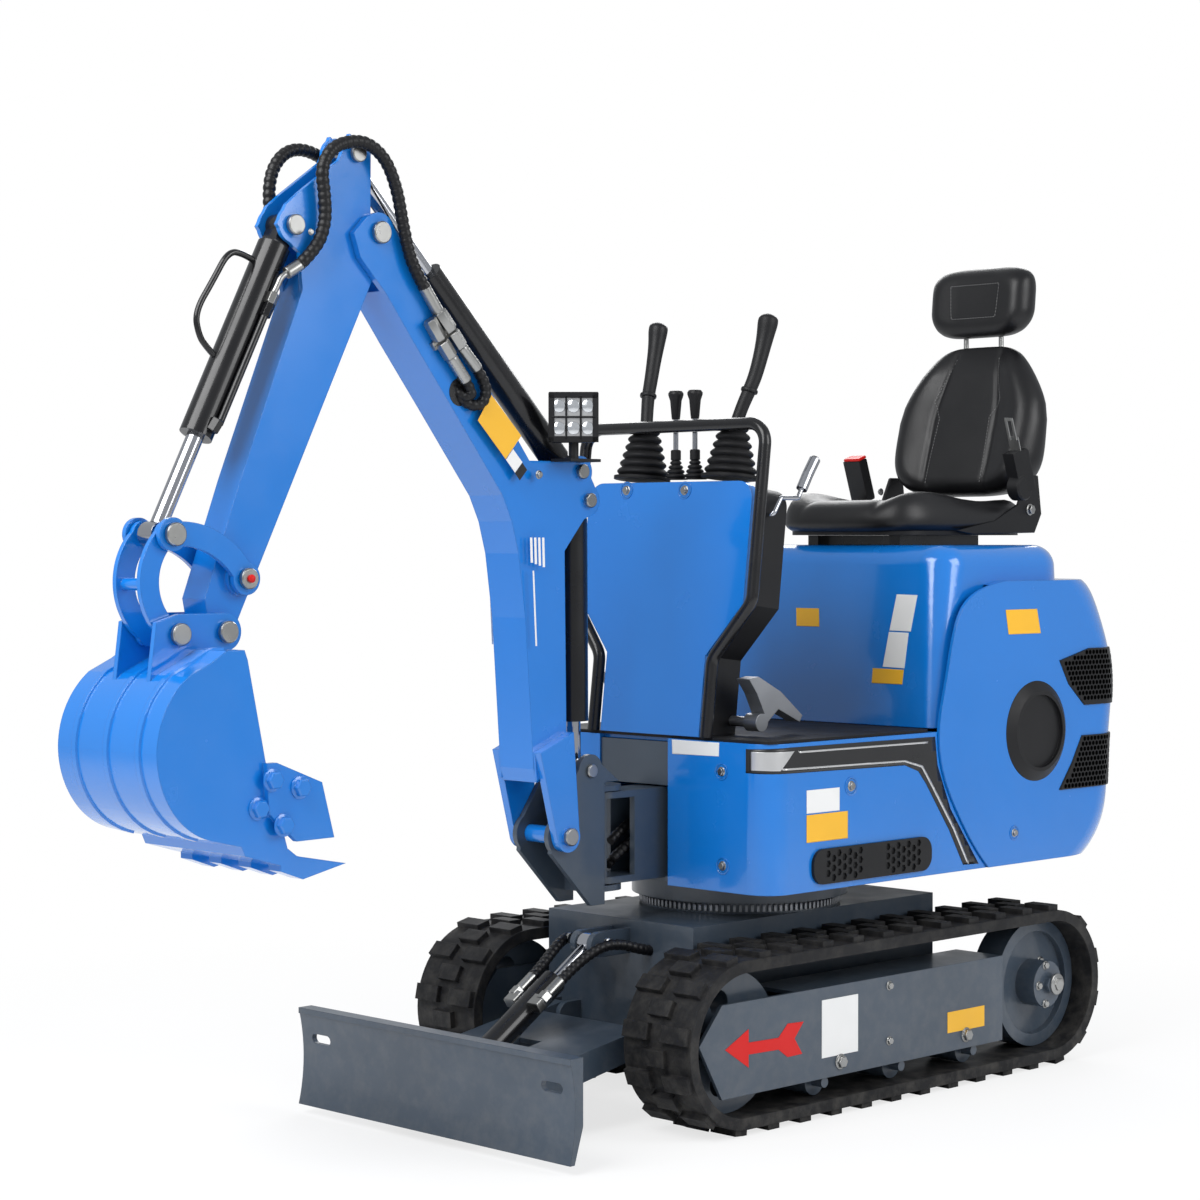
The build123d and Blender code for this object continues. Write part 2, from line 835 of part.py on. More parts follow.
with BuildPart() as skirt:
    skirt_rear = slew_x + hood_seam[0][0]
    skirt_front = slew_x + body_front_dx
    skirt_top = floor_z - floor_mat_thickness
    with BuildSketch(Plane.XY.offset(body_bottom_z)):
        with Locations(((skirt_front + skirt_rear) / 2, 0)):
            Rectangle(skirt_front - skirt_rear, 2 * body_half_width)
        fillet(vertices().sort_by(Axis.X)[-2:], body_corner)
    extrude(amount=skirt_top - body_bottom_z)
    with BuildSketch(Plane.XY.offset(body_bottom_z)):
        with Locations(((skirt_front + skirt_rear) / 2 - body_wall, 0)):
            Rectangle(skirt_front - skirt_rear, 2 * (body_half_width - body_wall))
        fillet(vertices().sort_by(Axis.X)[-2:], body_corner - body_wall)
    extrude(amount=skirt_top - body_wall - body_bottom_z, mode=Mode.SUBTRACT)
    add(seam_region(seam_gap), mode=Mode.SUBTRACT)
    with Locations((
        skirt_front, (opening_left + opening_right) / 2, (body_bottom_z + skirt_top) / 2
    )):
        Box(
            4 * body_wall,
            opening_left - opening_right,
            skirt_top - body_bottom_z + 2,
            mode=Mode.SUBTRACT,
        )
save(skirt.part, "body_skirt")

with BuildPart() as front_panel:
    panel_top = skirt_top - body_wall - seat_gap
    with Locations((
        skirt_front - panel_inset - panel_thickness / 2,
        (opening_left + opening_right) / 2,
        (front_panel_bottom_z + panel_top) / 2,
    )):
        Box(
            panel_thickness,
            opening_left - opening_right - 1,
            panel_top - front_panel_bottom_z,
        )
save(front_panel.part, "front_panel")

with BuildPart() as floor_mat:
    mat_rear = slew_x + seat_box_front_dx
    with BuildSketch(Plane.XY.offset(skirt_top)):
        with Locations(((skirt_front + mat_rear) / 2 - 2, 0)):
            RectangleRounded(skirt_front - mat_rear - 12, 2 * body_half_width - 10, 30)
    extrude(amount=floor_mat_thickness)
save(floor_mat.part, "floor_mat")

with BuildPart() as hood:
    add(tail_shape(0))
    add(tail_shape(body_wall), mode=Mode.SUBTRACT)
    add(seam_region(0), mode=Mode.INTERSECT)
    add(seat_box_shape(1), mode=Mode.SUBTRACT)
save(hood.part, "rear_hood")

with BuildPart() as seat_box:
    add(seat_box_shape(0))
    for top, front_dx, half, rear_dx in seat_box_hollows:
        with BuildSketch(Plane.XY.offset(seat_box_sections[0][0] - 1)):
            with Locations((slew_x + (front_dx + rear_dx) / 2, 0)):
                Rectangle(front_dx - rear_dx, 2 * half)
            fillet(vertices(), seat_box_hollow_corner)
        extrude(amount=top - seat_box_sections[0][0] + 1, mode=Mode.SUBTRACT)
save(seat_box.part, "seat_box")

with BuildPart() as side_discs:
    for facing in (1, -1):
        disc_plane = Plane(
            origin=(slew_x + disc_dx, facing * hood_half_width, disc_z),
            x_dir=(facing, 0, 0),
            z_dir=(0, facing, 0),
        )
        with BuildSketch(disc_plane):
            Circle(disc_radius)
        with BuildSketch(disc_plane.offset(disc_lip)):
            Circle(disc_radius - 1.6 * disc_lip)
        loft()
        with BuildSketch(disc_plane.offset(disc_lip)):
            Circle(disc_radius - 2.2 * disc_lip)
        extrude(amount=-disc_dish, mode=Mode.SUBTRACT)
save(side_discs.part, "side_discs")

with BuildPart() as side_grilles:
    for facing in (1, -1):
        middle_x = slew_x + (grille_front_dx + grille_rear_dx) / 2
        height = grille_top_z - grille_bottom_z
        grille_plane = Plane(
            origin=(middle_x, facing * body_half_width, (grille_top_z + grille_bottom_z) / 2),
            x_dir=(facing, 0, 0),
            z_dir=(0, facing, 0),
        )
        with BuildSketch(grille_plane):
            RectangleRounded(grille_front_dx - grille_rear_dx, height, 0.42 * height)
        extrude(amount=grille_thickness)
        half_panel = (grille_front_dx - grille_rear_dx) / 2
        with BuildSketch(grille_plane.offset(grille_thickness)):
            for offset_x in (-half_panel / 2, half_panel / 2):
                with Locations((offset_x, 0)):
                    with HexLocations(hex_pitch / 2, 7, 3):
                        RegularPolygon(hex_size, 6)
        extrude(amount=-hex_depth, mode=Mode.SUBTRACT)
save(side_grilles.part, "side_grilles")

with BuildPart() as rear_grilles:
    corner_along = (body_rear_dx + hood_half_width) / 2**0.5
    for facing in (1, -1):
        corner_plane = Plane(
            origin=(
                slew_x + body_rear_dx + corner_grille_round,
                facing * (hood_half_width - corner_grille_round),
                0,
            ),
            x_dir=(-facing, -1, 0),
            z_dir=(-1, facing, 0),
        )
        for outline in corner_grilles:
            points = [(facing * (corner_along - along), z) for along, z in outline]
            with BuildSketch(corner_plane):
                with BuildLine():
                    Polyline(*points, close=True)
                make_face()
            extrude(amount=2 * corner_grille_round)
    add(tail_shape(-corner_grille_thickness), mode=Mode.INTERSECT)
    add(tail_shape(0), mode=Mode.SUBTRACT)
save(rear_grilles.part, "rear_grilles")


# Console and controls

def lean_plane(forward):
    """The console's leaning front, moved forward or back along its own normal."""
    rise = console_top_z - console_foot_z
    tilt = atan2(console_lean, rise)
    foot = slew_x + body_front_dx - console_setback
    origin = (foot + forward * cos(tilt), 0, console_foot_z + forward * sin(tilt))
    return Plane(origin=origin, x_dir=(0, 1, 0), z_dir=(cos(tilt), 0, sin(tilt)))


def console_outline(grow):
    """The console's front outline, seen square on: narrow foot, wide shoulders."""
    height = console_top_z - console_foot_z
    foot = console_foot_half_width + grow
    top = console_top_half_width + grow
    return (
        (-foot, 0),
        (foot, 0),
        (foot, console_knee_low * height),
        (top, console_knee_high * height),
        (top, height + grow),
        (-top, height + grow),
        (-top, console_knee_high * height),
        (-foot, console_knee_low * height),
    )


for name, near, far, grow in (
    ("console", -console_depth, -cowl_thickness, 0),
    ("console_cowl", -cowl_thickness, 0, cowl_overhang),
):
    with BuildPart() as shell:
        with BuildSketch(lean_plane(near)):
            with BuildLine():
                Polyline(*console_outline(grow), close=True)
            make_face()
            fillet(vertices().sort_by(Axis.Y)[-2:], console_corner)
        extrude(amount=far - near)
        split(bisect_by=Plane.XY.offset(console_foot_z + seat_gap), keep=Keep.TOP)
    save(shell.part, name)

with BuildPart() as guard_rail:
    rise = console_top_z - console_foot_z
    rail_plane = lean_plane(-rail_setback)
    with BuildLine(rail_plane) as rail_path:
        FilletPolyline(
            (-rail_foot_y, 0),
            (-rail_foot_y, rail_knee_low),
            (-rail_top_y, rail_knee_high),
            (-rail_top_y, rail_top),
            (rail_top_y, rail_top),
            (rail_top_y, rail_knee_high),
            (rail_foot_y, rail_knee_low),
            (rail_foot_y, 0),
            radius=45,
        )
    with BuildSketch(Plane(origin=rail_path.line @ 0, z_dir=rail_path.line % 0)):
        Circle(rail_radius)
    sweep()
    split(bisect_by=Plane.XY.offset(console_foot_z + seat_gap), keep=Keep.TOP)
save(guard_rail.part, "guard_rail")


def build_stick(side):
    """A control stick: rubber bellows, bent stem and grip."""
    base_x = slew_x + stick_dx
    base_y = side * stick_half_spacing
    base_z_stick = console_top_z + 8
    with BuildPart() as stick:
        with BuildSketch(Plane.XY.offset(base_z_stick)):
            with Locations((base_x, base_y)):
                Circle(58)
        with BuildSketch(Plane.XY.offset(base_z_stick + 110)):
            with Locations((base_x - 12, base_y)):
                Circle(24)
        loft()
        grip_z = base_z_stick + 340
        with BuildLine() as stem:
            Polyline(
                (base_x - 12, base_y, base_z_stick + 100),
                (base_x - 40, base_y + side * 20, base_z_stick + 190),
                (base_x - 88, base_y + side * 32, grip_z),
            )
        for part_of in (0, 1):
            edge = stem.line.edges()[part_of]
            with BuildSketch(Plane(origin=edge @ 0, z_dir=edge % 0)):
                Circle(12 if part_of == 0 else 19)
            sweep(path=edge)
        with Locations((base_x - 40, base_y + side * 20, base_z_stick + 190)):
            Sphere(19)
    return stick.part


save(build_stick(1), "joystick_left")
save(build_stick(-1), "joystick_right")

with BuildPart() as levers:
    for y in (-28, 28):
        lever_x = slew_x + stick_dx
        with BuildSketch(Plane.XY.offset(console_top_z + 8)):
            with Locations((lever_x, y)):
                Circle(24)
        with BuildSketch(Plane.XY.offset(console_top_z + 44)):
            with Locations((lever_x, y)):
                Circle(10)
        loft()
        with BuildSketch(Plane.XY.offset(console_top_z + 40)):
            with Locations((lever_x, y)):
                Circle(7)
        extrude(amount=130)
        with BuildSketch(Plane.XY.offset(console_top_z + 140)):
            with Locations((lever_x, y)):
                Circle(14)
        extrude(amount=60)
save(levers.part, "small_levers")


def bent_rod(points, radius, bend):
    """A round rod that follows the points, its corners rounded to the bend radius."""
    with BuildPart() as rod:
        with BuildLine() as path:
            FilletPolyline(*points, radius=bend)
        with BuildSketch(Plane(origin=path.line @ 0, z_dir=path.line % 0)):
            Circle(radius)
        sweep()
    return rod.part


with BuildPart() as throttle_lever:
    lever_x = slew_x + throttle_dx
    add(bent_rod((
        (lever_x, console_top_half_width + seat_gap, throttle_z),
        (lever_x, throttle_y, throttle_z),
        (lever_x - 25, throttle_y, throttle_z + 36),
        (lever_x - 79, throttle_y, throttle_z + 36),
        (lever_x - 93, throttle_y, throttle_z + 60),
    ), 5, 9))
    add(bent_rod((
        (lever_x - 90, throttle_y, throttle_z + 54),
        (lever_x - 110, throttle_y, throttle_z + 86),
        (lever_x - 133, throttle_y, throttle_z + 118),
    ), 12, 9))
save(throttle_lever.part, "throttle_lever")

with BuildPart() as travel_pedals:
    for facing in (1, -1):
        shaft_y = facing * (console_foot_half_width + 1)
        pedal_y = facing * pedal_half_spacing
        shaft_end = pedal_y + facing * 12
        with Locations(Location((slew_x + pedal_dx, (shaft_y + shaft_end) / 2, pedal_z), (90, 0, 0))):
            Cylinder(pedal_shaft_radius, abs(shaft_end - shaft_y))
        with BuildSketch(side_view(slew_x + pedal_dx, pedal_z, 0, pedal_y + 18)):
            Circle(19)
            with BuildLine():
                Polyline(
                    (-18, 0), (14, 60), (40, 92), (10, 96), (-60, 62), (-128, 10), (-120, -4),
                    (-52, 26), close=True,
                )
            make_face()
        extrude(amount=36)
save(travel_pedals.part, "travel_pedals")


# Seat

with BuildPart() as seat_rails:
    for y in (-120, 120):
        with Locations((
            slew_x + seat_rail_dx, y, (seat_box_top_z + seat_bottom_z) / 2
        )):
            Box(seat_rail_length, 30, seat_bottom_z - seat_box_top_z)
save(seat_rails.part, "seat_rails")

with BuildPart() as cushion:
    cushion_front = slew_x + seat_front_dx
    cushion_rear = slew_x + seat_rear_dx
    with BuildSketch(Plane.XY.offset(seat_bottom_z)):
        with Locations(((cushion_front + cushion_rear) / 2, 0)):
            RectangleRounded(cushion_front - cushion_rear, 2 * seat_half_width, 60)
    extrude(amount=seat_top_z - seat_bottom_z)
save(cushion.part, "seat_cushion")

with BuildPart() as seat_back:
    with BuildSketch(side_view(slew_x, 0, 0, seat_back_half_width)):
        with BuildLine():
            Polyline(
                (seat_rear_dx + 120, seat_top_z + seat_gap),
                (seat_rear_dx - 6, seat_back_top_z),
                (seat_rear_dx - 60, seat_back_top_z),
                (seat_rear_dx - 30, seat_top_z + seat_gap),
                close=True,
            )
        make_face()
    extrude(amount=2 * seat_back_half_width)
save(seat_back.part, "seat_back")

with BuildPart() as headrest:
    head_x = slew_x + seat_rear_dx - 40
    head_height = headrest_top_z - headrest_bottom_z
    with Locations((head_x, 0, (headrest_top_z + headrest_bottom_z) / 2)):
        Box(80, 2 * headrest_half_width, head_height)
    fillet(headrest.edges().filter_by(Axis.X), 30)
    post_height = headrest_bottom_z - seat_back_top_z
    for y in (-50, 50):
        with Locations((head_x, y, seat_back_top_z + post_height / 2)):
            Cylinder(6, post_height)
save(headrest.part, "headrest")


# Swing post

with BuildPart() as swing_post:
    for y_left in (post_half_width, -post_half_width + post_plate):
        with BuildSketch(side_view(slew_x, 0, 0, y_left)):
            with BuildLine():
                Polyline(
                    (post_rear_dx, post_bottom_z),
                    (post_web_dx + 20, post_bottom_z),
                    (boom_pin_dx + 30, boom_pin_z - 34),
                    (boom_pin_dx + 20, boom_pin_z + 36),
                    (post_cylinder_pin_dx + 30, post_cylinder_pin_z + 10),
                    (post_cylinder_pin_dx - 20, post_cylinder_pin_z + 20),
                    (post_tip_dx, post_plate_top_z),
                    (post_rear_dx, post_plate_top_z),
                    close=True,
                )
            make_face()
            with Locations((boom_pin_dx, boom_pin_z)):
                Circle(post_boss_radius)
                Circle(boom_pin_radius + pin_gap, mode=Mode.SUBTRACT)
            with Locations((post_cylinder_pin_dx, post_cylinder_pin_z)):
                Circle(post_lobe_radius)
        extrude(amount=post_plate)
    for y_left, width in (
        (post_half_width - post_plate, post_half_width - post_plate - eye_half_width - 2),
        (-eye_half_width - 2, post_half_width - post_plate - eye_half_width - 2),
    ):
        with BuildSketch(side_view(post_pin_x, post_pin_z, 0, y_left)):
            Circle(rod_radius + 6)
        extrude(amount=width)
    web_length = post_plate
    web_x = slew_x + post_web_dx
    top_z = nose_top_z + clamp_gap
    bottom_z = nose_bottom_z - clamp_gap - clamp_plate
    with Locations((web_x, 0, (top_z + clamp_plate + bottom_z) / 2)):
        Box(web_length, 2 * post_half_width - post_plate, top_z + clamp_plate - bottom_z)
    for z in (top_z, bottom_z):
        with BuildSketch(Plane.XY.offset(z)):
            with Locations(((kingpin_x + web_x) / 2, 0)):
                Rectangle(web_x - kingpin_x, 2 * clamp_half_width)
            with Locations((kingpin_x, 0)):
                Circle(clamp_half_width)
        extrude(amount=clamp_plate)
    with Locations((web_x, 0, top_z + clamp_plate)):
        Box(post_notch, 2 * eye_half_width + 6, post_notch, mode=Mode.SUBTRACT)
    washer = clamp_gap - pin_gap
    for z in (top_z - washer / 2, bottom_z + clamp_plate + washer / 2):
        with Locations((kingpin_x, 0, z)):
            Cylinder(kingpin_radius + 8, washer)
save(swing_post.part, "swing_post")


# Boom

boom_box_outline = (
    (130, -22),
    (158, -19),
    (448, 74),
    (574, 105),
    (640, 112),
    (697, 108),
    (904, 47),
    (1053, 2),
    (1166, -30),
    (1205, 40),
    (1155, 69),
    (1016, 121),
    (734, 202),
    (660, 240),
    (587, 247),
    (117, 64),
)

with BuildPart() as boom:
    with BuildSketch(side_view(boom_pin_x, boom_pin_z, boom_angle, boom_half_width)):
        with BuildLine():
            Polyline(*boom_box_outline, close=True)
        make_face()
    extrude(amount=2 * boom_half_width)
    with BuildSketch(side_view(
        boom_pin_x, boom_pin_z, boom_angle, boom_half_width - boom_plate
    )):
        with BuildLine():
            Polyline(*boom_box_outline, close=True)
        make_face()
        offset(amount=-boom_plate, mode=Mode.REPLACE)
    extrude(amount=2 * (boom_half_width - boom_plate), mode=Mode.SUBTRACT)
    foot_inner = post_half_width + 1
    for y_left in (foot_inner + boom_foot_plate, -foot_inner):
        with BuildSketch(side_view(boom_pin_x, boom_pin_z, boom_angle, y_left)):
            Circle(boom_boss_radius)
            with BuildLine():
                Polyline(
                    (0, -boom_boss_radius),
                    (190, -8),
                    (190, 92),
                    (0, boom_boss_radius),
                    close=True,
                )
            make_face()
        extrude(amount=boom_foot_plate)
    for y_left in (foot_inner + 1, -boom_half_width):
        with BuildSketch(side_view(boom_pin_x, boom_pin_z, boom_angle, y_left)):
            with BuildLine():
                Polyline((135, -24), (190, -8), (190, 92), (135, 71), close=True)
            make_face()
        extrude(amount=foot_inner + 1 - boom_half_width)
    pin_end = foot_inner + boom_foot_plate + 4
    with BuildSketch(side_view(boom_pin_x, boom_pin_z, 0, pin_end)):
        Circle(boom_pin_radius)
    extrude(amount=2 * pin_end)
    ear_inner = boom_half_width - boom_ear_plate
    for y_left in (boom_half_width, -ear_inner):
        with BuildSketch(side_view(boom_pin_x, boom_pin_z, boom_angle, y_left)):
            with BuildLine():
                Polyline(
                    (1140, -20),
                    (1242, -62),
                    (1290, -60),
                    (boom_length + boom_ear_radius, -16),
                    (boom_length + 20, 33),
                    (1155, 66),
                    close=True,
                )
            make_face()
            with Locations((boom_length, 0)):
                Circle(boom_ear_radius)
        extrude(amount=boom_ear_plate)
    with BuildSketch(side_view(arm_pin_x, arm_pin_z, 0, boom_half_width + 4)):
        Circle(boom_pin_radius)
    extrude(amount=2 * boom_half_width + 8)
    for y_left in (boom_half_width, -boom_half_width + boom_plate):
        with BuildSketch(side_view(boom_pin_x, boom_pin_z, boom_angle, y_left)):
            with BuildLine():
                Polyline(
                    (520, 205),
                    (569, 300),
                    (boom_lug_u - 31, boom_lug_v),
                    (boom_lug_u, boom_lug_v + cylinder_lug_radius - 1),
                    (677, 345),
                    (734, 202),
                    (760, 180),
                    close=True,
                )
            make_face()
            with Locations((boom_lug_u, boom_lug_v), (arm_base_u, arm_base_v)):
                Circle(cylinder_lug_radius)
        extrude(amount=boom_plate)
    for u, v in ((boom_lug_u, boom_lug_v), (arm_base_u, arm_base_v)):
        x, z = local_point(boom_pin_x, boom_pin_z, boom_angle, u, v)
        boss = boom_half_width - boom_plate - eye_half_width - side_gap
        for y_left in (boom_half_width - boom_plate, -eye_half_width - side_gap):
            with BuildSketch(side_view(x, z, 0, y_left)):
                Circle(cylinder_pin_radius + 7)
            extrude(amount=boss)
        with BuildSketch(side_view(x, z, 0, boom_half_width + 4)):
            Circle(cylinder_pin_radius)
        extrude(amount=2 * boom_half_width + 8)
save(boom.part, "boom")


with BuildPart() as lamp:
    lamp_x = slew_x + lamp_dx
    lamp_plane = Plane(origin=(lamp_x, lamp_y, lamp_z), x_dir=(-1, 1, 0), z_dir=(1, 1, 0))
    with BuildSketch(lamp_plane):
        RectangleRounded(lamp_size, lamp_size, lamp_corner)
    extrude(amount=lamp_depth / 2, both=True)
    shelf_z = boom_shelf_z
    with Locations((lamp_x, lamp_y, (lamp_z - lamp_size / 2 + shelf_z) / 2)):
        Cylinder(lamp_stem_radius, lamp_z - lamp_size / 2 - shelf_z + 4)
    shelf_near = lamp_y + lamp_shelf_margin
    shelf_far = boom_half_width + seat_gap
    with Locations((
        lamp_x - lamp_shelf_back, (shelf_near + shelf_far) / 2, shelf_z - lamp_shelf / 2
    )):
        Box(lamp_shelf_length, shelf_near - shelf_far, lamp_shelf)
save(lamp.part, "lamp")


def save_cylinder(name, x, z, to_x, to_z, radius, length, neck, rod_start):
    """Write a cylinder's barrel and rod; the barrel's base pin is at x, z."""
    save(build_barrel(
        x, z, to_x, to_z, radius, length, rod_radius, neck, eye_radius, eye_half_width,
        cylinder_pin_radius,
    ), name + "_barrel")
    save(build_rod(
        x, z, to_x, to_z, length, rod_start, rod_radius, eye_radius, eye_half_width,
        cylinder_pin_radius,
    ), name + "_rod")


save_cylinder(
    "boom_cylinder", boom_lug_x, boom_lug_z, post_pin_x, post_pin_z,
    boom_barrel_radius, boom_barrel_length, cylinder_lug_radius + 4, boom_rod_start,
)
save_cylinder(
    "arm_cylinder", arm_base_x, arm_base_z, arm_eye_x, arm_eye_z,
    arm_barrel_radius, arm_barrel_length, cylinder_lug_radius + 4, arm_rod_start,
)


# Arm

arm_box_outline = (
    (70, -30),
    (156, -34),
    (arm_length - 10, -30),
    (arm_length - 10, 30),
    (arm_length - 40, 53),
    (563, 76),
    (183, 103),
    (100, 108),
)

with BuildPart() as arm:
    with BuildSketch(side_view(arm_pin_x, arm_pin_z, arm_angle, arm_half_width)):
        with BuildLine():
            Polyline(*arm_box_outline, close=True)
        make_face()
    extrude(amount=2 * arm_half_width)
    with BuildSketch(side_view(arm_pin_x, arm_pin_z, arm_angle, arm_half_width - arm_plate)):
        with BuildLine():
            Polyline(*arm_box_outline, close=True)
        make_face()
        offset(amount=-arm_plate, mode=Mode.REPLACE)
    extrude(amount=2 * (arm_half_width - arm_plate), mode=Mode.SUBTRACT)
    head_inner = arm_half_width - arm_head_plate
    for y_left in (arm_half_width, -head_inner):
        with BuildSketch(side_view(arm_pin_x, arm_pin_z, arm_angle, y_left)):
            with BuildLine():
                Polyline(
                    (-129, 74),
                    (-26, 24),
                    (-10, -34),
                    (156, -34),
                    (183, 103),
                    (124, 140),
                    (118, 180),
                    (104, 208),
                    (60, 205),
                    (25, 189),
                    (-79, 134),
                    (-136, 134),
                    close=True,
                )
            make_face()
            with Locations((arm_eye_u, arm_eye_v), (bucket_cylinder_u, bucket_cylinder_v)):
                Circle(arm_lobe_radius)
            Circle(arm_pin_boss_radius)
            with Locations((arm_hose_hole_u, arm_hose_hole_v)):
                Circle(arm_hose_hole_radius, mode=Mode.SUBTRACT)
        extrude(amount=arm_head_plate)
    with BuildSketch(side_view(arm_pin_x, arm_pin_z, 0, arm_half_width)):
        Circle(36)
    extrude(amount=2 * arm_half_width)
    for x, z in ((rocker_x, rocker_z), (bucket_pin_x, bucket_pin_z)):
        with BuildSketch(side_view(x, z, 0, arm_boss_half_width)):
            Circle(arm_boss_radius)
        extrude(amount=2 * arm_boss_half_width)
    with BuildSketch(side_view(bucket_cyl_x, bucket_cyl_z, 0, arm_half_width + 4)):
        Circle(cylinder_pin_radius)
    extrude(amount=2 * arm_half_width + 8)
    for y_left in (arm_half_width + 4, -arm_half_width):
        with BuildSketch(side_view(arm_eye_x, arm_eye_z, 0, y_left)):
            Circle(cylinder_pin_radius)
        extrude(amount=4)
    for x, z, r in (
        (arm_pin_x, arm_pin_z, boom_pin_radius),
        (rocker_x, rocker_z, link_pin_radius),
        (bucket_pin_x, bucket_pin_z, bucket_pin_radius),
    ):
        with BuildSketch(side_view(x, z, 0, arm_boss_half_width + 1)):
            Circle(r + pin_gap)
        extrude(amount=2 * arm_boss_half_width + 2, mode=Mode.SUBTRACT)
save(arm.part, "arm")

save_cylinder(
    "bucket_cylinder", bucket_cyl_x, bucket_cyl_z, link_pin_x, link_pin_z,
    bucket_barrel_radius, bucket_barrel_length, bucket_barrel_neck, bucket_rod_start,
)


# Bucket linkage

def curved_link(from_x, from_z, to_x, to_z, bulge, width, y_left, thickness, end_radius):
    """A banana-shaped plate between two pins."""
    span = hypot(to_x - from_x, to_z - from_z)
    angle = degrees(atan2(to_z - from_z, to_x - from_x))
    with BuildPart() as link:
        with BuildSketch(side_view(from_x, from_z, angle, y_left)):
            with BuildLine() as spine:
                ThreePointArc((0, 0), (span / 2, bulge), (span, 0))
            trace(spine.line, width)
            with Locations((0, 0), (span, 0)):
                Circle(end_radius)
        extrude(amount=thickness)
    return link.part


with BuildPart() as rocker_links:
    for y_left in (rocker_half_width, -rocker_half_width + rocker_plate):
        add(curved_link(
            rocker_x, rocker_z, link_pin_x, link_pin_z, 26, 44, y_left, rocker_plate, 30
        ))
    with BuildSketch(side_view(rocker_x, rocker_z, 0, rocker_half_width + 4)):
        Circle(link_pin_radius)
    extrude(amount=2 * rocker_half_width + 8)
    stub = rocker_half_width + 4 - eye_half_width - 4
    for y_left in (rocker_half_width + 4, -eye_half_width - 4):
        with BuildSketch(side_view(link_pin_x, link_pin_z, 0, y_left)):
            Circle(link_pin_radius)
        extrude(amount=stub)
save(rocker_links.part, "rocker_links")

with BuildPart() as bucket_links:
    for y_left in (link_half_width, -link_half_width + link_plate):
        add(curved_link(
            bucket_link_x, bucket_link_z, link_pin_x, link_pin_z, -46, 40, y_left,
            link_plate, 24,
        ))
    middle_x = (bucket_link_x + link_pin_x) / 2 + 46
    middle_z = (bucket_link_z + link_pin_z) / 2
    with BuildSketch(side_view(middle_x, middle_z, 0, link_half_width - link_plate)):
        Circle(11)
    extrude(amount=2 * (link_half_width - link_plate))
    with BuildSketch(side_view(link_pin_x, link_pin_z, 0, link_half_width + 1)):
        Circle(link_pin_radius + pin_gap)
    extrude(amount=2 * link_half_width + 2, mode=Mode.SUBTRACT)
save(bucket_links.part, "bucket_links")


# Bucket

with BuildSketch() as bucket_side:
    with BuildLine():
        Polyline(
            (104, -50), (70, -30), (30, -29), (23, -47), (-16, -229), (-68, -397), (9, -384),
            (100, -362),
        )
        ThreePointArc((100, -362), (144, -344), (180, -313))
        ThreePointArc((180, -313), (209, -262), (219, -204))
        ThreePointArc((219, -204), (199, -127), (152, -72))
        Line((152, -72), (104, -50))
    make_face()

with BuildPart() as bucket:
    with BuildSketch(side_view(bucket_pin_x, bucket_pin_z, 0, bucket_half_width)):
        add(bucket_side.sketch)
    extrude(amount=2 * bucket_half_width)
    with BuildSketch(side_view(
        bucket_pin_x, bucket_pin_z, 0, bucket_half_width - bucket_sheet
    )):
        add(bucket_side.sketch)
        offset(amount=-bucket_sheet, mode=Mode.REPLACE)
        with BuildLine():
            Polyline((60, -60), (0, -60), (-100, -385), (0, -374), (60, -350), close=True)
        make_face()
    extrude(amount=2 * (bucket_half_width - bucket_sheet), mode=Mode.SUBTRACT)
    with BuildSketch(side_view(bucket_pin_x, bucket_pin_z, 0, bucket_half_width)):
        with BuildLine():
            Polyline((40, -372), (-66, -388), (-96, -410), (-96, -426), (-60, -420), (30, -394), close=True)
        make_face()
    extrude(amount=2 * bucket_half_width)
    tooth_pitch = (2 * bucket_half_width - tooth_width) / (tooth_count - 1)
    for number in range(tooth_count):
        y_left = bucket_half_width - number * tooth_pitch
        with BuildSketch(side_view(bucket_pin_x, bucket_pin_z, 0, y_left)):
            with BuildLine():
                Polyline((-50, -392), (-92, -404), (-200, -425), (-100, -446), (-50, -428), close=True)
            make_face()
        extrude(amount=tooth_width)
    for y_left in (bucket_half_width + side_cutter_plate, -bucket_half_width):
        with BuildSketch(side_view(bucket_pin_x, bucket_pin_z, 0, y_left)):
            with BuildLine():
                Polyline(
                    (-10, -231), (-32, -231), (-135, -272), (-163, -374), (-77, -375),
                    (-14, -320), close=True,
                )
            make_face()
        extrude(amount=side_cutter_plate)
    for y_left in (bucket_ear_half_width, -bucket_ear_half_width + bucket_ear_plate):
        with BuildSketch(side_view(bucket_pin_x, bucket_pin_z, 0, y_left)):
            with BuildLine():
                Polyline(
                    (0, 34),
                    (bucket_link_dx, 34),
                    (bucket_link_dx + 48, 20),
                    (166, -86),
                    (152, -78),
                    (104, -56),
                    (40, -36),
                    (0, -34),
                    close=True,
                )
            make_face()
            with Locations((0, 0), (bucket_link_dx, bucket_link_dz)):
                Circle(34)
        extrude(amount=bucket_ear_plate)
    with BuildSketch(side_view(bucket_pin_x, bucket_pin_z, 0, bucket_ear_half_width + 5)):
        Circle(bucket_pin_radius)
    extrude(amount=2 * bucket_ear_half_width + 10)
    for y_left in (bucket_ear_half_width + 5, -bucket_ear_half_width):
        with BuildSketch(side_view(bucket_link_x, bucket_link_z, 0, y_left)):
            Circle(bucket_pin_radius)
        extrude(amount=5)
save(bucket.part, "bucket")
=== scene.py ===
# %% [markdown]
# # A compact tracked excavator, dressed in Blender
#
# The hard parts come from a CAD model in millimetres, packed as a frame of bodies and joints. This
# lesson gives every one of them a finish and adds what a plate or a turned solid doesn't have:
# hoses, bolts, bellows, stitched pads, grilles, lenses and plates. Everything is in metres in the
# same frame as the CAD: x points forward, y to the operator's left and z up.

# %% Load the frame
from math import copysign, cos, pi, radians, sin

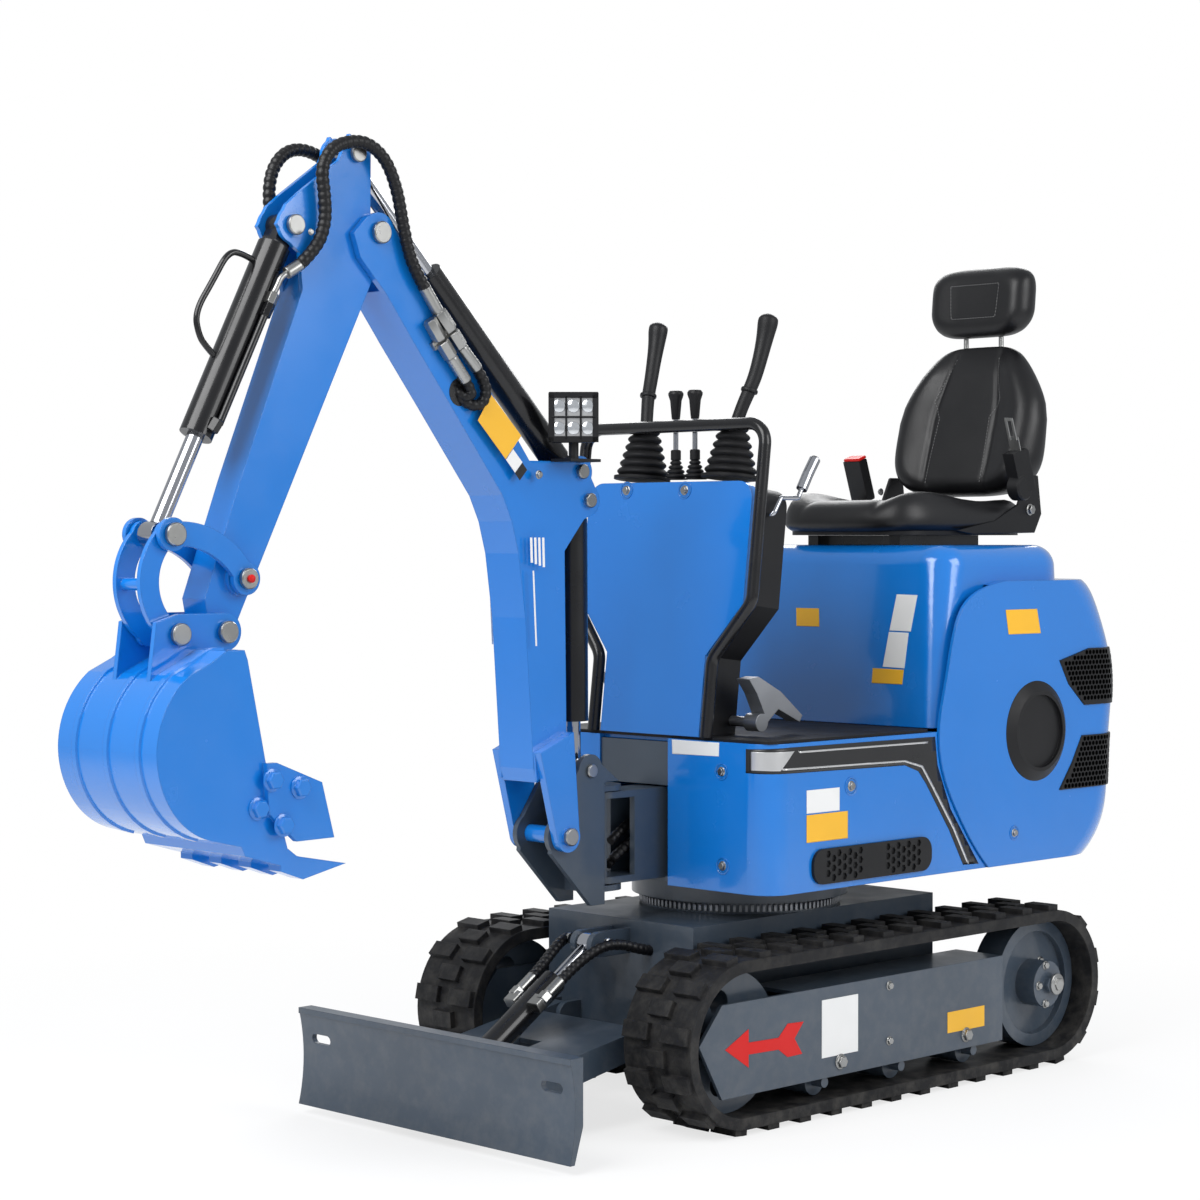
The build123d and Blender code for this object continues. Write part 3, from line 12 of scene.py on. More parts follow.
import bmesh
import bpy
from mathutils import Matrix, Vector
from mathutils.bvhtree import BVHTree


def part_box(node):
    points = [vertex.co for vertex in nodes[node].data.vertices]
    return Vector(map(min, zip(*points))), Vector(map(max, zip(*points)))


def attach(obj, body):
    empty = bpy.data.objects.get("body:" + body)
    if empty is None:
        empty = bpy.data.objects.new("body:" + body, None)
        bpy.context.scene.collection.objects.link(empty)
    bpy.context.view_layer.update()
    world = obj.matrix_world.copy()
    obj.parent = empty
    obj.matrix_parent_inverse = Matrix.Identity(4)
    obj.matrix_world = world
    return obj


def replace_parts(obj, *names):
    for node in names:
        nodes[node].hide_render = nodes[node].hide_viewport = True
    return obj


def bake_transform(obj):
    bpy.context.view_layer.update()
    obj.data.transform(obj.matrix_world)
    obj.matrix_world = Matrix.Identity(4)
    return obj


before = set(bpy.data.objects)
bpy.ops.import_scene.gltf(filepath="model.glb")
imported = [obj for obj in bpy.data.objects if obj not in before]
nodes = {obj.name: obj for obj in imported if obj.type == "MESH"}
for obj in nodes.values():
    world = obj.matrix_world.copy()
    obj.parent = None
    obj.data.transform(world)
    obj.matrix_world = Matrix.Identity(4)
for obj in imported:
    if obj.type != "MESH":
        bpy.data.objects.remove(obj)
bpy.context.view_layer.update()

# %% [markdown]
# ## Where things are
#
# The upper works turn about the slewing ring, so the CAD measures forward from that axis. One small
# helper turns those millimetres into a point in metres, and the rest of the lesson uses it. The
# axis is read from the ring's own box, so the lesson follows the CAD if the ring moves.

# %% Places in millimetres from the slewing axis
ring_rear, ring_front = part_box("slew_ring")
slew_x = (ring_rear[0] + ring_front[0]) / 2


def spot(dx, y, z):
    """A point given in millimetres from the slewing axis, in metres in the row frame."""
    return Vector((slew_x + dx / 1000, y / 1000, z / 1000))


def spots(places):
    """Several such points."""
    return [spot(*place) for place in places]


print("slewing axis at x =", round(slew_x, 4))

# %% [markdown]
# ## The camera
#
# The camera stands about six metres off the front left corner, level with the seat, with a long
# lens that keeps the machine's upright lines nearly parallel.

# %% Camera
LENS = 81.5
SENSOR = 36
CAMERA_SPOT = (4405.4, 3980.7, 1178.6)
YAW = radians(45.05)
PITCH_DOWN = radians(1.26)
camera_data = bpy.data.cameras.new("camera")
camera_data.lens = LENS
camera_data.sensor_width = SENSOR
camera = bpy.data.objects.new("camera", camera_data)
bpy.context.collection.objects.link(camera)
camera.location = spot(*CAMERA_SPOT)
look = Vector((-cos(YAW) * cos(PITCH_DOWN), -sin(YAW) * cos(PITCH_DOWN), -sin(PITCH_DOWN)))
camera.rotation_euler = look.to_track_quat("-Z", "Y").to_euler()
bpy.context.scene.camera = camera
bpy.context.scene.view_settings.view_transform = "Standard"
print("camera at", [round(v, 3) for v in camera.location])

# %% [markdown]
# ## Light and backdrop
#
# The machine stands on a white floor under one wide soft lamp in front, a weaker one on the left
# and a long one behind. The world is white where the camera sees it and dimmer as a light, so a
# white page lies behind the object without washing its colours out. The floor does the same: under
# the machine it is paper that takes shadows, and further out it glows white to the camera.

# %% Node helpers
def add_node(tree, kind, **values):
    """Adds a node and sets its inputs; From_Min is the input called From Min."""
    node = tree.nodes.new(kind)
    for label, value in values.items():
        node.inputs[label.replace("_", " ")].default_value = value
    return node


def multiply(tree, one, two):
    """Multiplies two values and returns the product's socket."""
    node = tree.nodes.new("ShaderNodeMath")
    node.operation = "MULTIPLY"
    tree.links.new(one, node.inputs[0])
    tree.links.new(two, node.inputs[1])
    return node.outputs[0]


def mix_shaders(tree, share, one, two, output):
    """Blends two shaders by a share and feeds the result to the tree's output."""
    mix = tree.nodes.new("ShaderNodeMixShader")
    tree.links.new(share, mix.inputs["Fac"])
    tree.links.new(one.outputs[0], mix.inputs[1])
    tree.links.new(two.outputs[0], mix.inputs[2])
    tree.links.new(mix.outputs[0], output.inputs["Surface"])


# %% World
WHITE = (1, 1, 1, 1)
SKY_FILL = (0.93, 0.96, 1, 1)
SKY_FILL_STRENGTH = 0.55
world = bpy.data.worlds.new("studio")
bpy.context.scene.world = world
world.use_nodes = True
tree = world.node_tree
tree.nodes.clear()
output = add_node(tree, "ShaderNodeOutputWorld")
page = add_node(tree, "ShaderNodeBackground", Color=WHITE, Strength=1.0)
fill = add_node(tree, "ShaderNodeBackground", Color=SKY_FILL, Strength=SKY_FILL_STRENGTH)
rays = add_node(tree, "ShaderNodeLightPath")
mix_shaders(tree, rays.outputs["Is Camera Ray"], fill, page, output)


# %% Lamps
def soft_lamp(name, at, target, width, height, watts):
    """A rectangular lamp that faces the target."""
    data = bpy.data.lights.new(name, "AREA")
    data.shape = "RECTANGLE"
    data.size = width
    data.size_y = height
    data.energy = watts
    lamp = bpy.data.objects.new(name, data)
    lamp.location = at
    lamp.rotation_euler = (Vector(target) - Vector(at)).to_track_quat("-Z", "Y").to_euler()
    bpy.context.collection.objects.link(lamp)
    return lamp


soft_lamp("key", (3.2, 0.2, 3.6), (0.1, 0, 0.9), 2.6, 2.6, 150)
soft_lamp("side", (-1.2, 4.2, 3.0), (-0.3, 0, 0.8), 2.4, 2.4, 95)
soft_lamp("back", (-3.4, -2.4, 3.4), (-0.2, 0, 1.0), 3.0, 1.6, 70)
print("lamps", len(bpy.data.lights))

# %% Floor
FLOOR_SIZE = 30
PAPER = (0.9, 0.9, 0.9, 1)
GLOW_UNDER = 0.74
FADE_START = 0.9
FADE_END = 2.6
bpy.ops.mesh.primitive_grid_add(x_subdivisions=8, y_subdivisions=8, size=FLOOR_SIZE)
floor = bpy.context.object
floor.name = "studio_floor"
floor_finish = bpy.data.materials.new("studio_floor")
floor_finish.use_nodes = True
tree = floor_finish.node_tree
tree.nodes.clear()
output = add_node(tree, "ShaderNodeOutputMaterial")
paper = add_node(tree, "ShaderNodeBsdfDiffuse", Color=PAPER)
glow = add_node(tree, "ShaderNodeEmission", Color=WHITE)
rays = add_node(tree, "ShaderNodeLightPath")
place = add_node(tree, "ShaderNodeTexCoord")
distance = add_node(tree, "ShaderNodeVectorMath")
distance.operation = "LENGTH"
fade = add_node(tree, "ShaderNodeMapRange", From_Min=FADE_START, From_Max=FADE_END,
                To_Min=GLOW_UNDER, To_Max=1.0)
tree.links.new(place.outputs["Object"], distance.inputs[0])
tree.links.new(distance.outputs["Value"], fade.inputs["Value"])
share = multiply(tree, rays.outputs["Is Camera Ray"], fade.outputs["Result"])
mix_shaders(tree, share, paper, glow, output)
floor.data.materials.append(floor_finish)
print("floor", FLOOR_SIZE, "m wide")

# %% [markdown]
# ## Surface effects as node groups
#
# Paint, rubber and plastic share a few effects: a slow drift in tone, a fine grain, and dust that
# settles low and in speckles. Each is built once as a shader group that gives out a colour, a mask
# or a height, and each material places it with its own values.

# %% Group helpers
def start_group(name, inputs, outputs):
    """A new shader group with float or colour sockets; returns it with its two end nodes."""
    group = bpy.data.node_groups.new(name, "ShaderNodeTree")
    for label, kind, value in inputs:
        socket = group.interface.new_socket(label, in_out="INPUT", socket_type=kind)
        if value is not None:
            socket.default_value = value
    for label, kind in outputs:
        group.interface.new_socket(label, in_out="OUTPUT", socket_type=kind)
    return group, group.nodes.new("NodeGroupInput"), group.nodes.new("NodeGroupOutput")


def noise_node(tree, scale, detail, rough=0.5):
    """Noise in object coordinates, so it needs no unwrapped mesh."""
    place = tree.nodes.new("ShaderNodeTexCoord")
    noise = add_node(tree, "ShaderNodeTexNoise", Scale=scale, Detail=detail, Roughness=rough)
    tree.links.new(place.outputs["Object"], noise.inputs["Vector"])
    return noise


def stretch(tree, source, low, high, to_low=0.0, to_high=1.0):
    """Stretches a value from one range to another, clamped."""
    node = add_node(tree, "ShaderNodeMapRange", From_Min=low, From_Max=high, To_Min=to_low,
                    To_Max=to_high)
    tree.links.new(source, node.inputs["Value"])
    return node


# %% Tone: a slow drift in colour
FLOAT = "NodeSocketFloat"
COLOR = "NodeSocketColor"
VECTOR = "NodeSocketVector"
CLOUD_LOW = 0.3
CLOUD_HIGH = 0.7
tone_group, ins, outs = start_group(
    "tone_drift",
    [("Color", COLOR, None), ("Darker", FLOAT, 0.85), ("Lighter", FLOAT, 1.1)],
    [("Color", COLOR)],
)
cloud = noise_node(tone_group, 3.5, 3)
level = stretch(tone_group, cloud.outputs["Fac"], CLOUD_LOW, CLOUD_HIGH)
tone_group.links.new(ins.outputs["Darker"], level.inputs["To Min"])
tone_group.links.new(ins.outputs["Lighter"], level.inputs["To Max"])
scaled = tone_group.nodes.new("ShaderNodeVectorMath")
scaled.operation = "SCALE"
tone_group.links.new(ins.outputs["Color"], scaled.inputs[0])
tone_group.links.new(level.outputs["Result"], scaled.inputs["Scale"])
tone_group.links.new(scaled.outputs["Vector"], outs.inputs["Color"])

# %% Grain: the fine bumps of moulded plastic, rubber and sprayed paint
grain_group, ins, outs = start_group(
    "fine_grain", [("Scale", FLOAT, 400.0), ("Depth", FLOAT, 1.0)], [("Height", FLOAT)]
)
speckle = noise_node(grain_group, 400, 2)
grain_group.links.new(ins.outputs["Scale"], speckle.inputs["Scale"])
height = multiply(grain_group, speckle.outputs["Fac"], ins.outputs["Depth"])
grain_group.links.new(height, outs.inputs["Height"])

# %% Dust: a pale mask, strongest low down and in speckles
dust_group, ins, outs = start_group(
    "settled_dust",
    [("Top", FLOAT, 0.4), ("Amount", FLOAT, 0.5)],
    [("Mask", FLOAT)],
)
place = dust_group.nodes.new("ShaderNodeTexCoord")
split = dust_group.nodes.new("ShaderNodeSeparateXYZ")
dust_group.links.new(place.outputs["Object"], split.inputs[0])
low_down = stretch(dust_group, split.outputs["Z"], 0, 1, 1, 0)
dust_group.links.new(ins.outputs["Top"], low_down.inputs["From Max"])
patches = noise_node(dust_group, 26, 5, 0.65)
patchy = stretch(dust_group, patches.outputs["Fac"], 0.42, 0.72)
both = multiply(dust_group, low_down.outputs["Result"], patchy.outputs["Result"])
dust_group.links.new(multiply(dust_group, both, ins.outputs["Amount"]), outs.inputs["Mask"])

# %% Rounded edge: a normal that softens every CAD edge
edge_group, ins, outs = start_group(
    "rounded_edge", [("Radius", FLOAT, 0.002)], [("Normal", VECTOR)]
)
bevel = edge_group.nodes.new("ShaderNodeBevel")
bevel.samples = 4
edge_group.links.new(ins.outputs["Radius"], bevel.inputs["Radius"])
edge_group.links.new(bevel.outputs["Normal"], outs.inputs["Normal"])
print("shader groups", len(bpy.data.node_groups))

# %% [markdown]
# ## Finishes
#
# Each finish is a Principled shader whose colour, roughness and bump come from those groups. One
# function lays out the common chain, since the paints, rubbers and plastics differ only in values:
# colour, how far the tone drifts, roughness and its spread, grain size and depth, edge radius, dust.

# %% A finish from the groups
COAT_ROUGHNESS = 0.06
SMEAR_SCALE = 11
GRAIN_HEIGHT = 0.001


def place_group(tree, group, **values):
    """Puts a shader group in a material's tree and sets its inputs."""
    node = tree.nodes.new("ShaderNodeGroup")
    node.node_tree = group
    for label, value in values.items():
        node.inputs[label].default_value = value
    return node


def finish(name, color, rough, metal=0.0, drift=(0.92, 1.06), grain=(500, 1.0), bump=0.05,
           edge=0.002, dust=(0.4, 0.0), coat=0.0, spread=0.08, dust_color=(0.42, 0.39, 0.34),
           shine=0.5):
    """A painted, moulded or plated finish."""
    material = bpy.data.materials.new(name)
    material.use_nodes = True
    tree = material.node_tree
    shader = tree.nodes["Principled BSDF"]
    shader.inputs["Metallic"].default_value = metal
    shader.inputs["Specular IOR Level"].default_value = shine
    if coat:
        shader.inputs["Coat Weight"].default_value = coat
        shader.inputs["Coat Roughness"].default_value = COAT_ROUGHNESS
    tone = place_group(tree, tone_group, Color=(*color, 1), Darker=drift[0], Lighter=drift[1])
    powder = place_group(tree, dust_group, Top=dust[0], Amount=dust[1])
    dusty = tree.nodes.new("ShaderNodeMix")
    dusty.data_type = "RGBA"
    dusty.inputs["B"].default_value = (*dust_color, 1)
    tree.links.new(tone.outputs["Color"], dusty.inputs["A"])
    tree.links.new(powder.outputs["Mask"], dusty.inputs["Factor"])
    tree.links.new(dusty.outputs["Result"], shader.inputs["Base Color"])
    smear = noise_node(tree, SMEAR_SCALE, 4)
    sheen = stretch(tree, smear.outputs["Fac"], CLOUD_LOW, CLOUD_HIGH, rough - spread,
                    rough + spread)
    tree.links.new(sheen.outputs["Result"], shader.inputs["Roughness"])
    specks = place_group(tree, grain_group, Scale=grain[0], Depth=grain[1])
    soft = place_group(tree, edge_group, Radius=edge)
    relief = add_node(tree, "ShaderNodeBump", Strength=bump, Distance=GRAIN_HEIGHT)
    tree.links.new(specks.outputs["Height"], relief.inputs["Height"])
    tree.links.new(soft.outputs["Normal"], relief.inputs["Normal"])
    tree.links.new(relief.outputs["Normal"], shader.inputs["Normal"])
    return material


# %% Paints, rubbers, plastics and metals
blue_paint = finish("blue_paint", (0.004, 0.175, 0.6), 0.2, coat=0.7, bump=0.02, edge=0.003,
                    grain=(160, 1.0), dust=(0.98, 0.01), drift=(0.97, 1.03))
slate_paint = finish("slate_paint", (0.045, 0.064, 0.09), 0.36, coat=0.2, bump=0.05,
                     dust=(0.8, 0.08))
black_paint = finish("black_paint", (0.006, 0.006, 0.007), 0.26, coat=0.3, bump=0.03, shine=0.3)
track_rubber = finish("track_rubber", (0.009, 0.009, 0.01), 0.6, drift=(0.75, 1.3), bump=0.35,
                      grain=(260, 1.0), dust=(0.85, 0.1), edge=0.004, shine=0.25)
mat_rubber = finish("mat_rubber", (0.009, 0.009, 0.01), 0.6, bump=0.3, grain=(320, 1.0),
                    shine=0.25)
hose_rubber = finish("hose_rubber", (0.006, 0.006, 0.007), 0.4, bump=0.12, grain=(700, 1.0),
                     shine=0.3)
grained_plastic = finish("grained_plastic", (0.007, 0.007, 0.008), 0.44, bump=0.25,
                         grain=(900, 1.0), edge=0.0015, shine=0.3)
chrome = finish("chrome", (0.46, 0.47, 0.5), 0.1, metal=1.0, bump=0.01, spread=0.03)
zinc = finish("zinc", (0.36, 0.36, 0.35), 0.3, metal=1.0, drift=(0.8, 1.1), bump=0.08)
raw_steel = finish("raw_steel", (0.32, 0.33, 0.35), 0.42, metal=0.9, drift=(0.7, 1.15), bump=0.2)
cast_iron = finish("cast_iron", (0.09, 0.09, 0.095), 0.6, metal=0.4, bump=0.4)
plate_yellow = finish("plate_yellow", (0.86, 0.46, 0.022), 0.4, bump=0.01, edge=0.0002)
plate_white = finish("plate_white", (0.8, 0.8, 0.79), 0.42, bump=0.01, edge=0.0002)
# black print on the band and labels, and painted shade in the boom's hose openings
black_print_and_shade = finish("black_print_and_shade", (0.012, 0.012, 0.013), 0.3, bump=0.01, edge=0.0002)
plate_silver = finish("plate_silver", (0.62, 0.62, 0.62), 0.28, metal=0.8, bump=0.01, edge=0.0002)
red_cap = finish("red_cap", (0.6, 0.008, 0.006), 0.4, bump=0.05, shine=0.3)
print("finishes", len(bpy.data.materials))

# %% [markdown]
# ## Dressing the CAD solids
#
# The solids that already have the right shape keep it and only take a finish. The table lists each
# finish with the solids it covers, so repainting the machine means changing one line.

# %% Finishes for the CAD solids
FINISH_OF = {
    blue_paint: ("body_skirt", "rear_hood", "seat_box", "console_cowl", "boom", "arm",
                 "rocker_links", "bucket_links", "bucket"),
    slate_paint: ("track_frame_left", "track_frame_right", "idler_left", "idler_right",
                  "sprocket_left", "sprocket_right", "rollers_left", "rollers_right",
                  "lower_carriage", "slew_ring", "upper_ring", "upper_frame", "swing_post",
                  "blade", "front_panel"),
    black_paint: ("guard_rail", "boom_cylinder_barrel", "arm_cylinder_barrel",
                  "bucket_cylinder_barrel", "blade_cylinder_barrel", "seat_rails"),
    track_rubber: ("track_left", "track_right"),
    mat_rubber: ("floor_mat",),
    grained_plastic: ("console", "joystick_left", "joystick_right", "small_levers",
                      "side_grilles", "rear_grilles", "lamp", "side_discs"),
    chrome: ("boom_cylinder_rod", "arm_cylinder_rod", "bucket_cylinder_rod",
             "blade_cylinder_rod", "throttle_lever"),
    raw_steel: ("travel_pedals",),
    cast_iron: ("engine_block",),
}
dressed = 0
for paint, names in FINISH_OF.items():
    for name in names:
        if name in nodes:
            slots = nodes[name].data.materials
            slots.clear()
            slots.append(paint)
            dressed += 1
print("solids dressed", dressed)

# %% [markdown]
# ## Making pieces
#
# Four small makers cover nearly every added piece: one turns a profile round an axis, one draws a
# tube or tapered rod through points, one cuts a plate from an outline and rounds its edges, and one
# lays a thin skin on a curved panel by dropping points onto it.

# %% Turn a mesh into a riding piece
SHARP_EDGE = radians(38)


def mesh_of(name, work):
    """Writes a bmesh into a new mesh, with its faces turned outward."""
    bmesh.ops.recalc_face_normals(work, faces=work.faces)
    mesh = bpy.data.meshes.new(name)
    work.to_mesh(mesh)
    work.free()
    return mesh


def show(name, mesh, material, smooth=True):
    """Links a mesh as an object with one finish."""
    piece = bpy.data.objects.new(name, mesh)
    bpy.context.collection.objects.link(piece)
    mesh.materials.clear()
    mesh.materials.append(material)
    if smooth:
        for face in mesh.polygons:
            face.use_smooth = True
    return piece


def settle(name, mesh, body, material, smooth=True):
    """Shows a mesh that rides on a body; its sharp edges stay crisp."""
    piece = show(name, mesh, material, smooth)
    if smooth:
        mesh.set_sharp_from_angle(angle=SHARP_EDGE)
    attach(piece, body)
    return piece


def make(name, work, body, material, smooth=True):
    """Turns a bmesh into a piece that rides on a body."""
    return settle(name, mesh_of(name, work), body, material, smooth)


# %% Turned solids
def bridge(work, rings):
    """Joins each closed ring of vertices to the next with four-sided faces."""
    for one, two in zip(rings, rings[1:]):
        for step in range(len(one)):
            after = (step + 1) % len(one)
            work.faces.new((one[step], one[after], two[after], two[step]))


def close_ends(work, rings):
    """Closes a row of rings with a face at each end."""
    work.faces.new(list(reversed(rings[0])))
    work.faces.new(rings[-1])


def circle(radius, around, height=0.0):
    """Points round a circle in its own plane, at a height above it."""
    turns = [2 * pi * step / around for step in range(around)]
    return [Vector((radius * cos(turn), radius * sin(turn), height)) for turn in turns]


def turned(work, profile, at, axis, around=32):
    """Adds a solid of revolution to work; the profile lists (radius, height) along the axis."""
    turn = Vector(axis).normalized().to_track_quat("Z", "Y").to_matrix()
    rings = [[work.verts.new(Vector(at) + turn @ point) for point in circle(radius, around, height)]
             for radius, height in profile]
    bridge(work, rings)
    close_ends(work, rings)


def hex_bolt(work, at, axis, size, height=None):
    """Adds a washer and a chamfered six-sided head; size is the distance across its corners."""
    high = height or 0.35 * size
    turned(work, [(0.62 * size, 0), (0.62 * size, 0.06 * size), (0.57 * size, 0.09 * size)],
           at, axis, 24)
    base = Vector(at) + Vector(axis).normalized() * 0.09 * size
    turned(work, [(0.5 * size, 0), (0.5 * size, 0.8 * high), (0.42 * size, high),
                  (0.34 * size, high)], base, axis, 6)


# %% Tubes and tapered rods
def smooth_line(name, points, order, per_span):
    """A curve object through control points, ready to be read as a mesh."""
    curve = bpy.data.curves.new(name, "CURVE")
    curve.dimensions = "3D"
    curve.resolution_u = per_span
    line = curve.splines.new("NURBS")
    line.points.add(len(points) - 1)
    for control, point in zip(line.points, points):
        control.co = (*point, 1)
    line.order_u = order
    line.use_endpoint_u = True
    holder = bpy.data.objects.new(name, curve)
    bpy.context.collection.objects.link(holder)
    return holder


def read_mesh(holder):
    """The mesh that a curve object shows; the object itself is removed."""
    bpy.context.view_layer.update()
    seen = holder.evaluated_get(bpy.context.evaluated_depsgraph_get())
    mesh = bpy.data.meshes.new_from_object(seen)
    bpy.data.objects.remove(holder)
    return mesh


def rod(name, points, radii, body, material, order=3, sides=12):
    """A round rod through control points, with a radius at each one; becomes a mesh."""
    holder = smooth_line(name, points, order, 10)
    holder.data.bevel_depth = 1.0
    holder.data.bevel_resolution = max(1, sides // 4)
    holder.data.use_fill_caps = True
    for control, radius in zip(holder.data.splines[0].points, radii):
        control.radius = radius
    mesh = read_mesh(holder)
    mesh.name = name
    return settle(name, mesh, body, material)


# %% Plates cut from an outline
def plate(work, corners, normal, thickness, rim=0.001):
    """Adds a flat plate with a small bevelled rim; corners are points, normal is its outward side."""
    out = Vector(normal).normalized() * thickness
    middle = sum((Vector(c) for c in corners), Vector()) / len(corners)
    low_ring = [work.verts.new(Vector(c)) for c in corners]
    mid_ring = [work.verts.new(Vector(c) + out - out.normalized() * rim) for c in corners]
    top_ring = []
    for corner in corners:
        inward = (middle - Vector(corner)).normalized()
        top_ring.append(work.verts.new(Vector(corner) + out + inward * rim))
    rings = [low_ring, mid_ring, top_ring]
    bridge(work, rings)
    close_ends(work, rings)


# %% Thin skins laid on a panel
def surface_tree(*names):
    """A search tree over the named CAD solids, to drop points onto them."""
    points = []
    faces = []
    for name in names:
        mesh = nodes[name].data
        start = len(points)
        points += [v.co.copy() for v in mesh.vertices]
        faces += [[start + v for v in face.vertices] for face in mesh.polygons]
    return BVHTree.FromPolygons(points, faces)


SKIN_CELLS = 40
SKIN_THICKNESS = 0.0005
VIEW_IN = Vector((-1, -1, 0)).normalized()
VIEW_ALONG = Vector((1, -1, 0)).normalized()


def skin(name, tree, outline, body, material, lift):
    """Lays a thin skin on a panel. The outline lists (along, height) in millimetres in a plane that
    faces the front left corner: along is positive towards the front."""
    work = bmesh.new()
    work.faces.new([work.verts.new((a / 1000, b / 1000, 0)) for a, b in outline])
    lows = [min(p[k] for p in outline) / 1000 for k in (0, 1)]
    highs = [max(p[k] for p in outline) / 1000 for k in (0, 1)]
    cell = max(highs[0] - lows[0], highs[1] - lows[1]) / SKIN_CELLS
    for k in (0, 1):
        steps = int((highs[k] - lows[k]) / cell)
        for step in range(1, steps + 1):
            point = Vector((0, 0, 0))
            point[k] = lows[k] + step * cell
            cut = Vector((0, 0, 0))
            cut[k] = 1
            everything = work.verts[:] + work.edges[:] + work.faces[:]
            bmesh.ops.bisect_plane(work, geom=everything, plane_co=point, plane_no=cut)
    lost = []
    for vert in work.verts:
        start = Vector((slew_x, 0, 0)) + VIEW_ALONG * vert.co.x + Vector((0, 0, vert.co.y))
        hit, normal, index, far = tree.ray_cast(start - VIEW_IN * 3, VIEW_IN, 6)
        if hit is None:
            lost.append(vert)
        else:
            vert.co = hit - VIEW_IN * lift
    bmesh.ops.delete(work, geom=lost, context="VERTS")
    bmesh.ops.triangulate(work, faces=work.faces)
    piece = make(name, work, body, material)
    thick = piece.modifiers.new("thickness", "SOLIDIFY")
    thick.thickness = SKIN_THICKNESS
    thick.offset = 0
    return piece


print("makers ready")

# %% [markdown]
# ## The seat's pads
#
# The cushion, the back and the headrest are moulded foam under black vinyl: full and smooth, with
# raised sides that hold the driver. Each pad is drawn as rings from its seam to the middle of its
# face and of its back. Heights come from a small function per pad, so the raised sides, the dip and
# the sewn channels are all in one place. A pad replaces its plain CAD solid.

# %% Vinyl
vinyl = finish("vinyl", (0.005, 0.005, 0.006), 0.38, bump=0.32, grain=(420, 1.0), edge=0.001,
               drift=(0.85, 1.2), spread=0.06, shine=0.4)
thread = finish("thread", (0.2, 0.2, 0.2), 0.7, bump=0.05, edge=0.0002)


def bump_at(value, middle, width):
    """A smooth bump of height one round the middle."""
    near = (value - middle) / width
    return 2.718 ** (-near * near)


def rise(value, low, high):
    """Goes smoothly from nought at low to one at high."""
    share = min(1, max(0, (value - low) / (high - low)))
    return share * share * (3 - 2 * share)


def squared(angle, power):
    """A point on a rounded square of half size one; power 2 is a circle, more is squarer."""
    c, s = cos(angle), sin(angle)
    return copysign(abs(c) ** (2 / power), c), copysign(abs(s) ** (2 / power), s)


# %% Pad maker
PAD_AROUND = 144
PAD_RIM_STEPS = 7
PAD_FACE_STEPS = 30


def pad(name, half_u, half_v, power, edge, place, node):
    """A stuffed form. place(u, v, level) gives a point for plan position u, v from -1 to 1 and a
    level from -1 at the back's middle through 0 at the seam to 1 on the face."""
    work = bmesh.new()
    outline = [squared(2 * pi * step / PAD_AROUND, power) for step in range(PAD_AROUND)]
    quarter = [pi / 2 * step / PAD_RIM_STEPS for step in range(PAD_RIM_STEPS + 1)]
    for sign in (1, -1):
        rings = []
        for turn in quarter:
            inset = edge * (1 - cos(turn))
            rings.append((1 - inset / half_u, 1 - inset / half_v, sign * sin(turn)))
        last_u, last_v = rings[-1][0], rings[-1][1]
        for step in range(1, PAD_FACE_STEPS):
            share = 1 - step / PAD_FACE_STEPS
            rings.append((last_u * share, last_v * share, sign))
        loops = []
        for scale_u, scale_v, level in rings:
            if loops == [] and sign == -1:
                loops.append(seam)
                continue
            loops.append([work.verts.new(place(scale_u * u, scale_v * v, level)) for u, v in outline])
        if sign == 1:
            seam = loops[0]
        bridge(work, loops)
        middle = work.verts.new(place(0, 0, sign))
        for step in range(PAD_AROUND):
            work.faces.new((loops[-1][step], loops[-1][(step + 1) % PAD_AROUND], middle))
    piece = show(name, mesh_of(name, work), vinyl)
    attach(piece, "upper_works")
    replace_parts(piece, node)
    return piece


def between(low, seam, high, level):
    """A height on a pad: low at level -1, the seam at 0 and high at 1."""
    return seam + (high - seam) * level if level >= 0 else seam + (seam - low) * level


# %% Cushion
CUSHION_LENGTH = 512
CUSHION_WIDTH = 410
CUSHION_MIDDLE = -571
CUSHION_UNDER = 1191
CUSHION_SEAM = 1218
CUSHION_FACE = 1261


def cushion_point(u, v, level):
    """The seat cushion: a front roll, raised sides and a dip where the driver sits."""
    dx = CUSHION_MIDDLE + CUSHION_LENGTH / 2 * u
    y = CUSHION_WIDTH / 2 * v * (1 - 0.05 * rise(-u, 0.3, 1))
    seam = CUSHION_SEAM + 14 * (1 - rise(u, -0.9, 0.4))
    front_roll = 9 * rise(u, -0.2, 0.9)
    raised_side = 27 * rise(abs(v), 0.5, 0.86)
    dip = 16 * bump_at(u, -0.25, 0.5)
    channels = 5 * bump_at(abs(v), 0.5, 0.035) + 4 * bump_at(u, 0.42, 0.03) * (abs(v) < 0.5)
    face = CUSHION_FACE + front_roll + raised_side - dip - channels
    return spot(dx, y, between(CUSHION_UNDER, seam, face, level))


cushion = pad("seat_cushion_pad", CUSHION_LENGTH / 2, CUSHION_WIDTH / 2, 4.6, 52, cushion_point,
              "seat_cushion")

# %% Back
BACK_HEIGHT = 360
BACK_WIDTH = 412
BACK_MIDDLE = 1462


def back_point(u, v, level):
    """The seat's back: narrow rounded shoulders, a hollow middle and raised sides."""
    up = (u + 1) / 2
    narrow = 1 - 0.3 * rise(u, 0.0, 1.0) - 0.03 * rise(-u, 0.5, 1)
    rear = -862 - 27 * up
    front = -722 - 112 * up
    seam = rear + 0.45 * (front - rear)
    hollow = 16 * (1 - rise(abs(v), 0.4, 0.8))
    channel = 5 * bump_at(abs(v), 0.44, 0.03)
    face = front - hollow - channel - 10 * rise(u, 0.6, 1)
    return spot(between(rear, seam, face, level), BACK_WIDTH / 2 * v * narrow,
                BACK_MIDDLE + BACK_HEIGHT / 2 * u)


